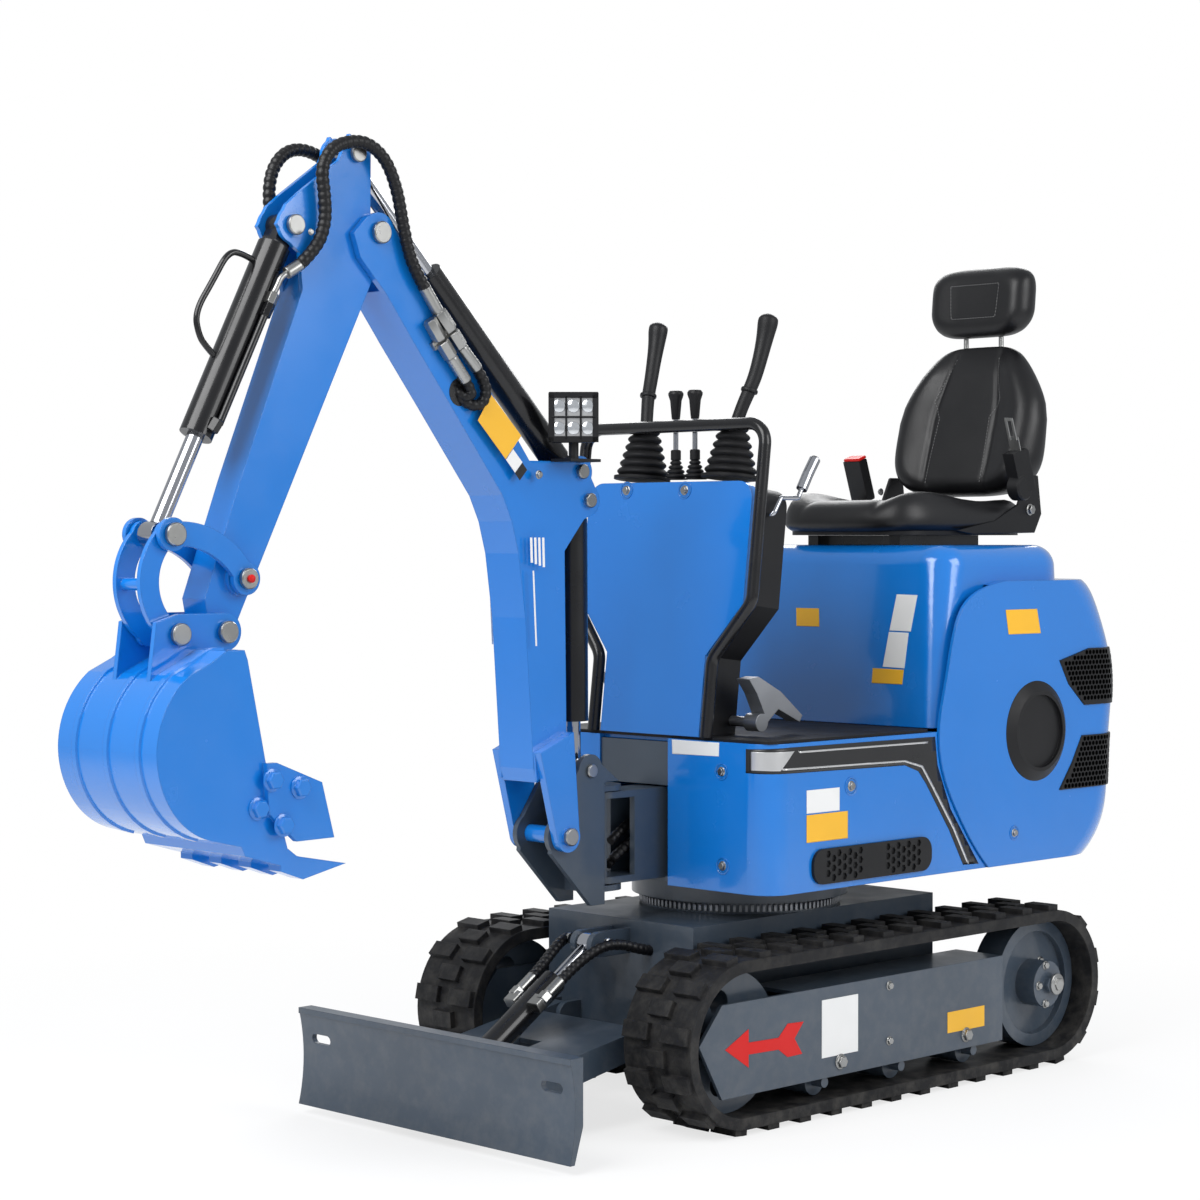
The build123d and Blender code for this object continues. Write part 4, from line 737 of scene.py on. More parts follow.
backrest = pad("seat_back_pad", BACK_HEIGHT / 2, BACK_WIDTH / 2, 4.2, 46, back_point, "seat_back")

# %% Headrest
HEAD_HEIGHT = 168
HEAD_WIDTH = 286
HEAD_MIDDLE = 1748


def head_point(u, v, level):
    """The headrest, slightly dished and rounded all round."""
    y = HEAD_WIDTH / 2 * v * (1 - 0.1 * rise(-u, 0.2, 1))
    half_thick = 41 - 5 * (1 - rise(abs(v), 0.3, 0.8)) * (level > 0)
    return spot(-870 - 8 * u + half_thick * level, y, HEAD_MIDDLE + HEAD_HEIGHT / 2 * u)


headpad = pad("headrest_pad", HEAD_HEIGHT / 2, HEAD_WIDTH / 2, 4.6, 38, head_point, "headrest")
print("pads", [len(p.data.vertices) for p in (cushion, backrest, headpad)])

# %% [markdown]
# ## Stitching
#
# Grey thread runs in two kinked lines down the back and as a frame on the headrest. Each stitch is
# a short turned grain laid on the pad, all in one mesh, so the thread catches light like the real
# one.

# %% Stitches
def stitch_line(work, place, corners, pitch=7.5):
    """Lays stitches along straight runs between (u, v) corners on a pad's face."""
    for one, two in zip(corners, corners[1:]):
        start = place(one[0], one[1], 1)
        length = (place(two[0], two[1], 1) - start).length * 1000
        count = max(1, int(length / pitch))
        for step in range(count):
            share = (step + 0.2) / count
            later = (step + 0.8) / count
            a = place(one[0] + (two[0] - one[0]) * share, one[1] + (two[1] - one[1]) * share, 1)
            b = place(one[0] + (two[0] - one[0]) * later, one[1] + (two[1] - one[1]) * later, 1)
            long = (b - a).length
            turned(work, [(0.0003, 0), (0.0008, 0.15 * long), (0.0008, 0.85 * long),
                          (0.0003, long)], a, b - a, 6)


work = bmesh.new()
for side in (1, -1):
    stitch_line(work, back_point, [(0.85, side * 0.42), (0.28, side * 0.5), (0.05, side * 0.36),
                                   (-0.82, side * 0.4)])
    stitch_line(work, cushion_point, [(0.8, side * 0.44), (-0.75, side * 0.44)])
stitch_line(work, head_point, [(0.5, -0.5), (0.5, 0.5), (-0.45, 0.46), (-0.45, -0.46),
                               (0.5, -0.5)])
make("seat_stitches", work, "upper_works", thread)

# %% [markdown]
# ## What holds the seat
#
# A plastic pan closes the cushion from below, and two plastic cheeks cover the hinge that lets the
# back tilt. Two bolts show on each cheek, and two bright posts carry the headrest.

# %% Seat pan, hinge cheeks and posts
UP = (0, 0, 1)
PAN_AROUND = 48
CHEEK = [(-500, 1200), (-640, 1222), (-735, 1262), (-768, 1330), (-812, 1330), (-826, 1240),
         (-800, 1196), (-560, 1192)]
CHEEK_Y = 199
CHEEK_THICK = 0.007
POST_SPREAD = 52
pan_work = bmesh.new()
bolt_work = bmesh.new()
pan = []
for step in range(PAN_AROUND):
    u, v = squared(2 * pi * step / PAN_AROUND, 5)
    pan.append(spot(-575 + 240 * u, 192 * v, 1190.4))
plate(pan_work, pan, UP, 0.012, 0.003)
for side in (1, -1):
    outward = (0, side, 0)
    bolt_y = side * (CHEEK_Y + 1000 * CHEEK_THICK)
    plate(pan_work, [spot(dx, side * CHEEK_Y, z) for dx, z in CHEEK], outward, CHEEK_THICK, 0.003)
    hex_bolt(bolt_work, spot(-738, bolt_y, 1296), outward, 0.014)
    hex_bolt(bolt_work, spot(-778, bolt_y, 1250), outward, 0.022)
    turned(bolt_work, [(0.006, 0), (0.006, 0.05)], spot(-872, side * POST_SPREAD, 1632), UP, 16)
make("seat_pan", pan_work, "upper_works", grained_plastic)
make("seat_bolts", bolt_work, "upper_works", zinc)
print("seat done")

# %% [markdown]
# ## Belt
#
# The buckle stands at the driver's right hip with its red button up, and the reel and tongue sit
# on the near hinge cheek.

# %% Belt buckle, reel and tongue
def block(work, at, axes, sizes, rim=0.002):
    """Adds a block with eight softened corners; axes are two directions, sizes three lengths."""
    first = Vector(axes[0]).normalized()
    second = (Vector(axes[1]) - Vector(axes[1]).project(first)).normalized()
    third = first.cross(second)
    half = [s / 2 for s in sizes]
    corners = []
    for a, b in ((-1, -1), (1, -1), (1, 1), (-1, 1)):
        corners.append(Vector(at) + first * half[0] * a + second * half[1] * b - third * half[2])
    plate(work, corners, third, sizes[2], rim)


BUCKLE_Y = -170
TONGUE_Y = 222
LEAN = (0.35, 0, 1)
BUCKLE_AXES = (LEAN, (0, 1, 0))
TONGUE_AXES = (LEAN, (0.2, 1, 0))
housings = bmesh.new()
block(housings, spot(-612, BUCKLE_Y, 1322), BUCKLE_AXES, (0.1, 0.05, 0.03), 0.004)
turned(housings, [(0.012, 0), (0.012, 0.05)], spot(-640, BUCKLE_Y - 2, 1240), (0.3, 0, 1), 12)
block(housings, spot(-716, TONGUE_Y, 1338), TONGUE_AXES, (0.1, 0.036, 0.05), 0.006)
turned(housings, [(0.026, 0), (0.03, 0.004), (0.03, 0.032), (0.026, 0.036)],
       spot(-716, 204, 1300), (0, 1, 0), 24)
make("belt_housings", housings, "upper_works", grained_plastic)
button = bmesh.new()
block(button, spot(-595, BUCKLE_Y, 1373), ((1, 0, -0.35), (0, 1, 0)), (0.028, 0.046, 0.006), 0.002)
make("belt_button", button, "upper_works", red_cap)
tongue = bmesh.new()
block(tongue, spot(-697, TONGUE_Y, 1398), TONGUE_AXES, (0.04, 0.034, 0.003), 0.001)
for shift in (-10, 10):
    block(tongue, spot(-682 + 0.2 * shift, TONGUE_Y + shift, 1432), TONGUE_AXES,
          (0.05, 0.006, 0.003), 0.001)
block(tongue, spot(-674, TONGUE_Y, 1456), TONGUE_AXES, (0.008, 0.026, 0.003), 0.001)
make("belt_tongue", tongue, "upper_works", zinc)
print("belt done")

# %% [markdown]
# ## Sticks and levers
#
# Each main stick rises from ribbed rubber bellows, bends once, and ends in a grip that swells at
# its top. The bellows are a turned profile with six ribs, and the stem is one tapered rod. The two
# small levers between them have chrome stems.

# %% Bellows profile
def ribs(foot, top, height, count, groove):
    """A profile of round ribs that shrink from the foot radius to the top radius."""
    profile = [(foot * 1.06, 0), (foot * 1.06, 0.06 * height)]
    for number in range(count):
        for step in range(6):
            share = (number + step / 5) / count
            radius = foot + (top - foot) * (number + 0.5) / count
            swell = sin(pi * step / 5)
            profile.append((radius - groove + groove * swell, height * (0.07 + 0.9 * share)))
    profile.append((top * 0.8, height))
    return profile


# %% Main sticks
STICK_SPREAD = 129
CONSOLE_TOP = 1308
STEM = [(161, 0, 1412, 0.0135), (150, 8, 1452, 0.0135), (135, 19, 1494, 0.0145),
        (122, 24, 1524, 0.015), (108, 28, 1570, 0.016), (97, 30, 1610, 0.0185),
        (90, 32, 1642, 0.0225), (88, 32, 1652, 0.018), (87, 32, 1656, 0.006)]


def stick(side, node):
    """Bellows, stem and grip of one main stick; STEM lists dx, how far outward, z and radius."""
    y = side * STICK_SPREAD
    work = bmesh.new()
    turned(work, ribs(0.058, 0.030, 0.118, 6, 0.008), spot(174, y, CONSOLE_TOP), (-0.1, 0, 1), 40)
    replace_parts(make(node + "_bellows", work, "upper_works", track_rubber), node)
    points = [spot(dx, y + side * out, z) for dx, out, z, radius in STEM]
    rod(node + "_stem", points, [radius for dx, out, z, radius in STEM], "upper_works",
        grained_plastic, 3, 20)
    collar = bmesh.new()
    turned(collar, [(0.0175, 0), (0.0182, 0.002), (0.0182, 0.006), (0.017, 0.008)],
           spot(136, y + side * 18.6, 1490), (-0.3, side * 0.12, 1), 28)
    make(node + "_collar", collar, "upper_works", grained_plastic)


stick(1, "joystick_left")
stick(-1, "joystick_right")

# %% Small levers
SMALL_LEVER_SPREAD = 28
rubber_feet = bmesh.new()
stems = bmesh.new()
knobs = bmesh.new()
for side in (-1, 1):
    y = side * SMALL_LEVER_SPREAD
    turned(rubber_feet, ribs(0.024, 0.011, 0.042, 4, 0.004), spot(174, y, CONSOLE_TOP), UP, 28)
    turned(rubber_feet, [(0.011, 0), (0.011, 0.02), (0.009, 0.022)], spot(174, y, 1350), UP, 20)
    turned(stems, [(0.0055, 0), (0.0055, 0.085)], spot(174, y, 1368), UP, 20)
    turned(knobs, [(0.0085, 0), (0.0095, 0.006), (0.0125, 0.04), (0.0165, 0.052),
                   (0.0165, 0.056), (0.013, 0.061), (0.006, 0.062)], spot(174, y, 1437), UP, 28)
feet = make("small_lever_boots", rubber_feet, "upper_works", track_rubber)
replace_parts(feet, "small_levers")
make("small_lever_stems", stems, "upper_works", chrome)
make("small_lever_knobs", knobs, "upper_works", grained_plastic)
print("controls done")

# %% [markdown]
# ## Hoses
#
# The hoses over the arm's head wear a spiral guard, so they look like strings of beads. A smooth
# route is read from a spline through given points, and rings that swell and narrow along it
# make the guard. The loop leaves the boom and ends on the arm, drawn in place on neither body.
# Crimped ends and long nuts join the hoses to the boom's pipes, and return hoses go back into it
# through round openings, drawn as flat black discs of painted shade.

# %% Beaded hose maker
HOSE_SIDES = 14
BEAD_LENGTH = 0.0135
BEAD_DEPTH = 0.18
RINGS_PER_BEAD = 6


def hose(name, points, radius, body, blend=None):
    """A hose along a route, with a spiral guard's beads; blend is (body, body, start, end), its
    values are not used, and when it is given the hose rides on no body.
    """
    path = [vert.co.copy() for vert in read_mesh(smooth_line("route", points, 3, 24)).vertices]
    lengths = [0.0]
    for one, two in zip(path, path[1:]):
        lengths.append(lengths[-1] + (two - one).length)
    total = lengths[-1]
    work = bmesh.new()
    rings = []
    turn = None
    last = None
    at = 0
    count = max(2, int(total / (BEAD_LENGTH / RINGS_PER_BEAD)))
    for number in range(count + 1):
        goal = total * number / count
        while at < len(path) - 2 and lengths[at + 1] < goal:
            at += 1
        share = (goal - lengths[at]) / max(1e-9, lengths[at + 1] - lengths[at])
        here = path[at].lerp(path[at + 1], min(1, share))
        ahead = (path[min(at + 2, len(path) - 1)] - path[max(at - 1, 0)]).normalized()
        if turn is None:
            turn = ahead.to_track_quat("Z", "Y").to_matrix()
        else:
            turn = last.rotation_difference(ahead).to_matrix() @ turn
        last = ahead
        swell = abs(sin(pi * goal / BEAD_LENGTH)) ** 0.6
        size = radius * (1 - BEAD_DEPTH + BEAD_DEPTH * swell)
        rings.append([work.verts.new(here + turn @ point) for point in circle(size, HOSE_SIDES)])
    bridge(work, rings)
    close_ends(work, rings)
    print(name, "length", round(total, 3))
    if blend is None:
        return make(name, work, body, hose_rubber)
    piece = show(name, mesh_of(name, work), hose_rubber)
    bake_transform(piece)
    return piece


# %% The loops over the arm's head
HEAD_HOSE_RADIUS = 0.0125
near_loop = spots((
    (966, 64, 1657), (985, 64, 1682), (1006, 63, 1720), (1022, 62, 1780), (1034, 61, 1840),
    (1060, 60, 1896), (1104, 59, 1924), (1150, 59, 1922), (1192, 58, 1905), (1216, 57, 1866),
    (1207, 57, 1815), (1205, 56, 1765), (1222, 52, 1718), (1256, 44, 1686)))
hose("head_hose_near", near_loop, HEAD_HOSE_RADIUS, None,
     blend=("boom", "arm", near_loop[2], near_loop[8]))
far_loop = spots((
    (972, -64, 1664), (1000, -64, 1706), (1034, -62, 1780), (1062, -60, 1850), (1110, -58, 1902),
    (1166, -55, 1917), (1212, -52, 1908), (1246, -48, 1874), (1258, -46, 1830), (1256, -42, 1770),
    (1258, -40, 1700)))
hose("head_hose_far", far_loop, HEAD_HOSE_RADIUS, None,
     blend=("boom", "arm", far_loop[1], far_loop[7]))

# %% Crimped ends and nuts on the boom
def ferrule(work, one, two, radius):
    """A crimped hose end between two points, with shallow rings."""
    along = Vector(two) - Vector(one)
    long = along.length
    profile = []
    for step in range(13):
        share = step / 12
        profile.append((radius * (1 if step % 2 else 0.93), long * share))
    turned(work, profile, one, along, 20)


def nut(work, one, two, radius):
    """A long six-sided nut between two points."""
    along = Vector(two) - Vector(one)
    long = along.length
    turned(work, [(0.85 * radius, 0), (radius, 0.06 * long), (radius, 0.94 * long),
                  (0.85 * radius, long)], one, along, 6)


BOOM_HOSE_Y = 64
FITTINGS = [
    (ferrule, (971, 1663), (935, 1617), 0.0125), (nut, (935, 1617), (903, 1583), 0.0155),
    (nut, (957, 1600), (929, 1564), 0.0145), (nut, (900, 1580), (875, 1552), 0.0145),
    (ferrule, (875, 1552), (834, 1512), 0.0125), (nut, (925, 1560), (901, 1531), 0.0145),
    (ferrule, (901, 1531), (863, 1488), 0.0125),
]
work = bmesh.new()
opening_shade = bmesh.new()
for side in (1, -1):
    y = side * BOOM_HOSE_Y
    outward = (0, side, 0)
    for fitting, one, two, radius in FITTINGS:
        fitting(work, spot(one[0], y, one[1]), spot(two[0], y, two[1]), radius)
    turned(work, [(0.006, 0), (0.006, 0.03)], spot(925, y - side * 28, 1572), outward, 16)
    block(work, spot(912, y - side * 12, 1572), ((0.65, 0, 0.76), (0, 1, 0)), (0.016, 0.01, 0.07))
    # painted shade: a flat black disc stands in for the dark inside each round opening
    turned(opening_shade, [(0.027, 0), (0.027, 0.0008)], spot(866, side * 49.1, 1466), outward, 36)
make("boom_hose_ends", work, "boom", zinc)

# %% Return hoses that go back into the boom
for side, label in ((1, "near"), (-1, "far")):
    y = side * BOOM_HOSE_Y
    hose("boom_return_upper_" + label, spots((
        (838, y, 1516), (818, y, 1494), (808, y, 1466), (822, y, 1442), (850, side * 58, 1440),
        (868, side * 40, 1462))), 0.0115, "boom")
    hose("boom_return_lower_" + label, spots((
        (867, y, 1492), (850, y, 1472), (848, y, 1458), (862, side * 54, 1456),
        (876, side * 38, 1476))), 0.0105, "boom")
make("boom_hose_opening_shade", opening_shade, "boom", black_print_and_shade)

# %% Hose end and pipes on the bucket's cylinder
work = bmesh.new()
for side in (1, -1):
    ferrule(work, spot(1252, side * 44, 1688), spot(1284, side * 40, 1668), 0.0118)
rod("arm_hose_elbow", spots(((1282, 40, 1669), (1296, 39, 1661), (1303, 38, 1645),
                             (1312, 36, 1628))), [0.006] * 4, "arm", zinc)
rod("arm_hose_elbow_far", spots(((1256, -40, 1702), (1280, -40, 1676), (1303, -38, 1645),
                                 (1312, -36, 1628))), [0.006] * 4, "arm", zinc)
for side in (1, -1):
    nut(work, spot(1310, side * 36, 1630), spot(1320, side * 36, 1610), 0.0115)
make("arm_hose_ends", work, "arm", zinc)
print("hoses done")

# %% [markdown]
# ## Lamp
#
# The work lamp on the boom looks along the diagonal. Its face gets a rim, a grid of six lenses with
# bright reflectors behind, and its back gets cooling fins.

# %% Work lamp
lens_glass = finish("lens_glass", (0.62, 0.64, 0.66), 0.12, metal=0.85, drift=(0.97, 1.02), coat=0.8)
lamp_out = Vector((0.7071, 0.7071, 0))
lamp_across = Vector((-0.7071, 0.7071, 0))
lamp_axes = (lamp_out, lamp_across)
lamp_face = spot(598 + 14.8, 92 + 14.8, 1424)


def on_lamp(across, up, out=0.0):
    """A point on the lamp's front face, in metres."""
    return lamp_face + lamp_across * across + Vector((0, 0, up)) + lamp_out * out


work = bmesh.new()
for across, up, wide, high in ((0, 0.044, 0.1, 0.012), (0, -0.044, 0.1, 0.012),
                               (0.044, 0, 0.012, 0.1), (-0.044, 0, 0.012, 0.1),
                               (0, 0, 0.088, 0.004), (0.0145, 0, 0.004, 0.088),
                               (-0.0145, 0, 0.004, 0.088)):
    block(work, on_lamp(across, up, 0.002), lamp_axes, (0.007, wide, high))
for step in range(7):
    block(work, on_lamp(-0.042 + 0.014 * step, 0, -0.044), lamp_axes, (0.008, 0.003, 0.086))
make("lamp_rim", work, "boom", grained_plastic)
work = bmesh.new()
block(work, on_lamp(0, 0), lamp_axes, (0.003, 0.084, 0.084), 0.001)
make("lamp_plate", work, "boom", plate_silver)
work = bmesh.new()
for column in (-1, 0, 1):
    for row in (-1, 1):
        turned(work, [(0.0135, 0.0), (0.0128, 0.003), (0.008, 0.0052), (0.0001, 0.006)],
               on_lamp(0.029 * column, 0.022 * row, 0.001), lamp_out, 24)
make("lamp_lenses", work, "boom", lens_glass)

# %% [markdown]
# ## Plates and stripes
#
# Plates and stripes are thin skins that follow the bodies below them, blank where the machine
# carries print. Each is drawn as an outline in the plane of the view and laid on the surface.

# %% Plates on the upper works
upper_tree = surface_tree("body_skirt", "rear_hood", "seat_box", "side_discs")
BAND_LIFT = 0.0006
LABEL_LIFT = 0.0009
ON_BAND_LIFT = 0.0011
SKINS = [
    ("band_black", black_print_and_shade, "black_plastic", BAND_LIFT, [
        (8, 753), (8, 704), (-84, 703), (-346, 698), (-378, 683), (-396, 656), (-454, 549),
        (-490, 468), (-529, 466), (-458, 593), (-425, 692), (-419, 754), (-83, 756)]),
    ("band_patch", plate_silver, "chrome_rod", ON_BAND_LIFT, [
        (-2, 748), (-2, 710), (-62, 709), (-92, 748)]),
    ("band_line_low", plate_silver, "chrome_rod", ON_BAND_LIFT, [
        (-66, 714), (-66, 710), (-345, 705), (-386, 690), (-406, 655), (-464, 549), (-500, 469),
        (-505, 469), (-469, 552), (-410, 658), (-389, 694), (-346, 709)]),
    ("band_line_high", plate_silver, "chrome_rod", ON_BAND_LIFT, [
        (-100, 747), (-104, 743), (-400, 741), (-402, 745)]),
    ("plate_white_0", plate_white, "blue_paint", LABEL_LIFT, [
        (155, 762), (60, 762), (61, 734), (154, 732)]),
    ("plate_white_1", plate_white, "blue_paint", LABEL_LIFT, [
        (-351, 1059), (-392, 1058), (-377, 978), (-335, 979)]),
    ("plate_white_2", plate_white, "blue_paint", LABEL_LIFT, [
        (-334, 976), (-373, 975), (-363, 897), (-320, 899)]),
    ("plate_yellow_0", plate_yellow, "blue_paint", LABEL_LIFT, [
        (-191, 1024), (-143, 1024), (-143, 983), (-191, 983)]),
    ("plate_yellow_1", plate_yellow, "blue_paint", LABEL_LIFT, [
        (-300, 895), (-362, 894), (-358, 862), (-297, 862)]),
    ("plate_yellow_2", plate_yellow, "blue_paint", LABEL_LIFT, [
        (-596, 1024), (-679, 1024), (-689, 969), (-604, 969)]),
    ("hood_label_upper", plate_white, "blue_paint", LABEL_LIFT, [
        (-193, 665), (-119, 665), (-119, 617), (-193, 617)]),
    ("hood_label_lower", plate_yellow, "blue_paint", LABEL_LIFT, [
        (-212, 614), (-119, 614), (-119, 557), (-212, 557)]),
]
for name, material, slot, lift, outline in SKINS:
    skin(name, upper_tree, outline, "upper_works", material, lift)
print("plates done")

# %% [markdown]
# ## Holes in the rear grilles, drawn as painted shade
#
# The tail's grilles are moulded plastic with rows of six-sided holes. A hole is not cut: it is drawn
# as a dull black cell a hair above the surface, painted shade for the dark inside the hole. Rows of
# cells are sent at the tail from five sides, and a cell is kept only where all its corners land on
# the grille and the grille faces that side.

# %% Honeycomb on the rear grilles
HOLE_PITCH = 0.0135
HOLE_RADIUS = 0.0056
HOLE_LIFT = 0.0004
HOLE_ROWS = 48
HOLE_COLUMNS = 44
# painted shade: a near-black, rough, unshiny finish for the dark inside the grille's holes
painted_hole_shade = finish("painted_hole_shade", (0.0008, 0.0008, 0.0008), 0.9, bump=0.0, shine=0.0)


def honeycomb(work, tree, own_faces, look):
    """Lays small six-sided cells of painted shade, in place of holes, on what faces one way; look is
    a level direction.
    """
    look = Vector(look).normalized()
    along = Vector((-look.y, look.x, 0))
    made = 0
    for row in range(HOLE_ROWS):
        for column in range(-HOLE_COLUMNS, HOLE_COLUMNS + 1):
            offset = (column + 0.5 * (row % 2)) * HOLE_PITCH
            rise_by = Vector((0, 0, row * HOLE_PITCH * 0.866))
            start = spot(-613, 0, 430) + along * offset + rise_by
            corners = []
            for step in range(6):
                turn = pi / 6 + pi * step / 3
                reach = Vector((0, 0, HOLE_RADIUS * sin(turn)))
                place = start + along * (HOLE_RADIUS * cos(turn)) + reach
                hit, normal, index, far = tree.ray_cast(place + look * 2, -look, 2)
                if hit is None or index >= own_faces or normal.dot(look) < 0.93:
                    break
                if corners and abs((hit - corners[0]).dot(look)) > 0.012:
                    break
                corners.append(hit + look * HOLE_LIFT)
            if len(corners) == 6:
                work.faces.new([work.verts.new(c) for c in corners])
                made += 1
    return made


grille_tree = surface_tree("rear_grilles", "rear_hood")
grille_faces = len(nodes["rear_grilles"].data.polygons)
work = bmesh.new()
made = 0
for look in ((0, 1, 0), (-1, 1, 0), (-1, 0, 0), (-1, -1, 0), (0, -1, 0)):
    made += honeycomb(work, grille_tree, grille_faces, look)
print("holes", made)
make("grille_hole_shade", work, "upper_works", painted_hole_shade, smooth=False)

# %% [markdown]
# ## Plates on flat faces
#
# The track frames and the boom have flat sides, so their plates need no search for the surface: a
# thin bevelled plate at the face's own distance is enough. The right side mirrors the left.

# %% Flat plates on the track frames and the boom
def flat(name, points, y, side, body, material, lift):
    """A thin plate on a face square to Y; points are (dx, z) in millimetres."""
    work = bmesh.new()
    plate(work, [spot(dx, side * y, z) for dx, z in points], (0, side, 0), lift, 0.0002)
    return make(name, work, body, material, smooth=False)


FRAME_FACE = 388
BOOM_FACE = 64
ARROW = [(472, 176), (403, 209), (403, 182), (313, 180), (285, 205), (236, 203), (264, 172),
         (240, 138), (285, 137), (313, 156), (403, 158), (403, 132)]
FRAME_PLATES = [
    ("frame_arrow_", red_cap, ARROW),
    ("frame_plate_white_", plate_white, [(179, 239), (64, 239), (64, 120), (179, 120)]),
    ("frame_plate_yellow_", plate_yellow, [(-237, 163), (-367, 163), (-367, 118), (-237, 118)]),
]
PLATE_LIFT = 0.0008
LINE_LIFT = 0.0005
BARS = 4


def bar(number):
    """The outline of a short bar on the boom; each reaches 3 mm lower than the one before."""
    edge = 692 - 11 * number
    foot = 1134 - 3 * number
    return [(edge, 1184), (edge - 6, 1184), (edge - 8, foot), (edge - 2, foot)]


BOOM_PLATES = [
    ("boom_plate_yellow_", plate_yellow, PLATE_LIFT, [
        (797, 1464), (716, 1385), (758, 1338), (832, 1412)]),
    ("boom_plate_white_", plate_white, PLATE_LIFT, [
        (757, 1337), (738, 1358), (713, 1333), (733, 1312)]),
    *[("boom_bar_%d_" % number, plate_white, LINE_LIFT, bar(number)) for number in range(BARS)],
    ("boom_line_", plate_white, LINE_LIFT, [(685, 1118), (681, 1118), (673, 968), (677, 968)]),
]
for side, label in ((1, "left"), (-1, "right")):
    for name, material, points in FRAME_PLATES:
        flat(name + label, points, FRAME_FACE, side, "undercarriage", material,
             PLATE_LIFT)
    for name, material, lift, points in BOOM_PLATES:
        flat(name + label, points, BOOM_FACE, side, "boom", material, lift)
flat("boom_plate_black_left", [(733, 1311), (713, 1332), (700, 1318), (720, 1297)], BOOM_FACE, 1,
     "boom", black_print_and_shade, PLATE_LIFT)
print("flat plates", len(FRAME_PLATES), "and", len(BOOM_PLATES), "on each side")

# %% [markdown]
# ## Pins, bolts and caps
#
# Each pin shows its turned end with a chamfer. The pins are set on the outermost surface at their
# place, found with a ray from the side, so they follow the CAD if a boss grows. A bolt is a washer
# and a chamfered six-sided head. Those on the skirt, the cowl and the hood sit in shallow cups, each
# drawn as a raised ring in the body's own paint.

# %% Pin ends
side_trees = {}


def outer_y(names, dx, z, side):
    """Where a line from the side first meets the named solids, in metres, or None."""
    if names not in side_trees:
        side_trees[names] = surface_tree(*names)
    hit, normal, index, far = side_trees[names].ray_cast(spot(dx, side * 900, z), (0, -side, 0), 2)
    return None if hit is None else hit.y


CAPPED = "rocker"
PINS = [("boom", ("boom", "arm"), 1068, 1759, 21),
        ("arm", ("arm",), 1262, 1759, 19),
        ("arm", ("arm",), 1112, 1905, 17),
        ("rocker", ("rocker_links", "arm"), 1389.7, 1109.4, 19),
        ("bucket_link", ("bucket_links", "rocker_links"), 1551, 1189.1, 21),
        ("bucket_link", ("bucket_links", "bucket"), 1541, 1012.1, 20),
        ("bucket", ("bucket", "arm"), 1437, 1014.1, 20),
        ("swing_post", ("swing_post", "boom"), 591, 581, 18),
        ("swing_post", ("swing_post",), 510, 708, 14),
        ("boom", ("boom",), 514, 1259.5, 15),
        ("boom", ("boom",), 535.4, 1317.7, 15)]
pin_work = {}
cap_work = {}
for body, names, dx, z, radius in PINS:
    size = radius / 1000
    for side in (1, -1):
        y = outer_y(names, dx, z, side)
        if y is None:
            continue
        at = Vector((slew_x + dx / 1000, y, z / 1000))
        work = pin_work.setdefault(body, bmesh.new())
        turned(work, [(size, -0.001), (size, 0.006), (size - 0.002, 0.008)], at, (0, side, 0), 40)
        if body == CAPPED:
            dome = cap_work.setdefault(body, bmesh.new())
            turned(dome, [(0.0075, 0.0079), (0.0075, 0.012), (0.004, 0.0155), (0.0005, 0.016)], at,
                   (0, side, 0), 24)
for body, work in pin_work.items():
    make("pin_ends_" + body, work, body, zinc)
for body, work in cap_work.items():
    make("grease_caps_" + body, work, body, red_cap)
print("pins", sorted(pin_work))

# %% Bolt heads
BOLTS = [("undercarriage", FRAME_FACE, 120, 106, 26), ("undercarriage", FRAME_FACE, -302, 107, 26),
         ("undercarriage", FRAME_FACE, -39, 244, 16), ("undercarriage", FRAME_FACE, -39, 128, 16),
         ("boom", BOOM_FACE, 668, 1309, 14), ("boom", BOOM_FACE, 1246, 1745, 10)]
CUTTER_BOLTS = ((1415, 753), (1353, 736), (1438, 703), (1391, 671))
CUTTER_BOLT_SIZE = 0.034
work_of = {}
for body, y, dx, z, size in BOLTS:
    for side in (1, -1):
        work = work_of.setdefault(body, bmesh.new())
        hex_bolt(work, spot(dx, side * y, z), (0, side, 0), size / 1000)
for body, work in work_of.items():
    make("bolt_heads_" + body, work, body, zinc)
work = bmesh.new()
for dx, z in CUTTER_BOLTS:
    for side in (1, -1):
        y = outer_y(("bucket",), dx, z, side)
        if y is not None and abs(y) > 0.12:
            at = Vector((slew_x + dx / 1000, y, z / 1000))
            hex_bolt(work, at, (0, side, 0), CUTTER_BOLT_SIZE)
make("bolt_heads_bucket", work, "bucket", blue_paint)

# %% Recessed bolts on the skirt, the cowl and the hood
def recess(work, washers, at, normal, radius):
    """A shallow round cup drawn as a ring, with a bolt in its middle."""
    turned(work, [(radius, 0.0), (radius, 0.0012), (radius * 0.86, 0.0015),
                  (radius * 0.8, 0.0004)], at, normal, 40)
    hex_bolt(washers, at, normal, radius * 0.9, 0.005)


cups = bmesh.new()
heads = bmesh.new()
front = surface_tree("console_cowl", "body_skirt", "rear_hood", "seat_box")
for y, z, radius in ((-126, 1286, 0.019), (46, 1284, 0.019), (211, 703, 0.018),
                     (214, 509, 0.018), (-211, 703, 0.018)):
    hit, normal, index, far = front.ray_cast(spot(900, y, z), (-1, 0, 0), 2)
    if hit is not None:
        recess(cups, heads, hit, normal if normal.x > 0 else -normal, radius)
for dx, z, radius in ((31, 665, 0.02), (-531, 525, 0.017)):
    for side in (1, -1):
        hit, normal, index, far = front.ray_cast(spot(dx, side * 900, z), (0, -side, 0), 2)
        if hit is not None:
            recess(cups, heads, hit, normal if normal.y * side > 0 else -normal, radius)
make("recess_rings", cups, "upper_works", blue_paint)
make("recess_bolts", heads, "upper_works", zinc)
print("bolts done")

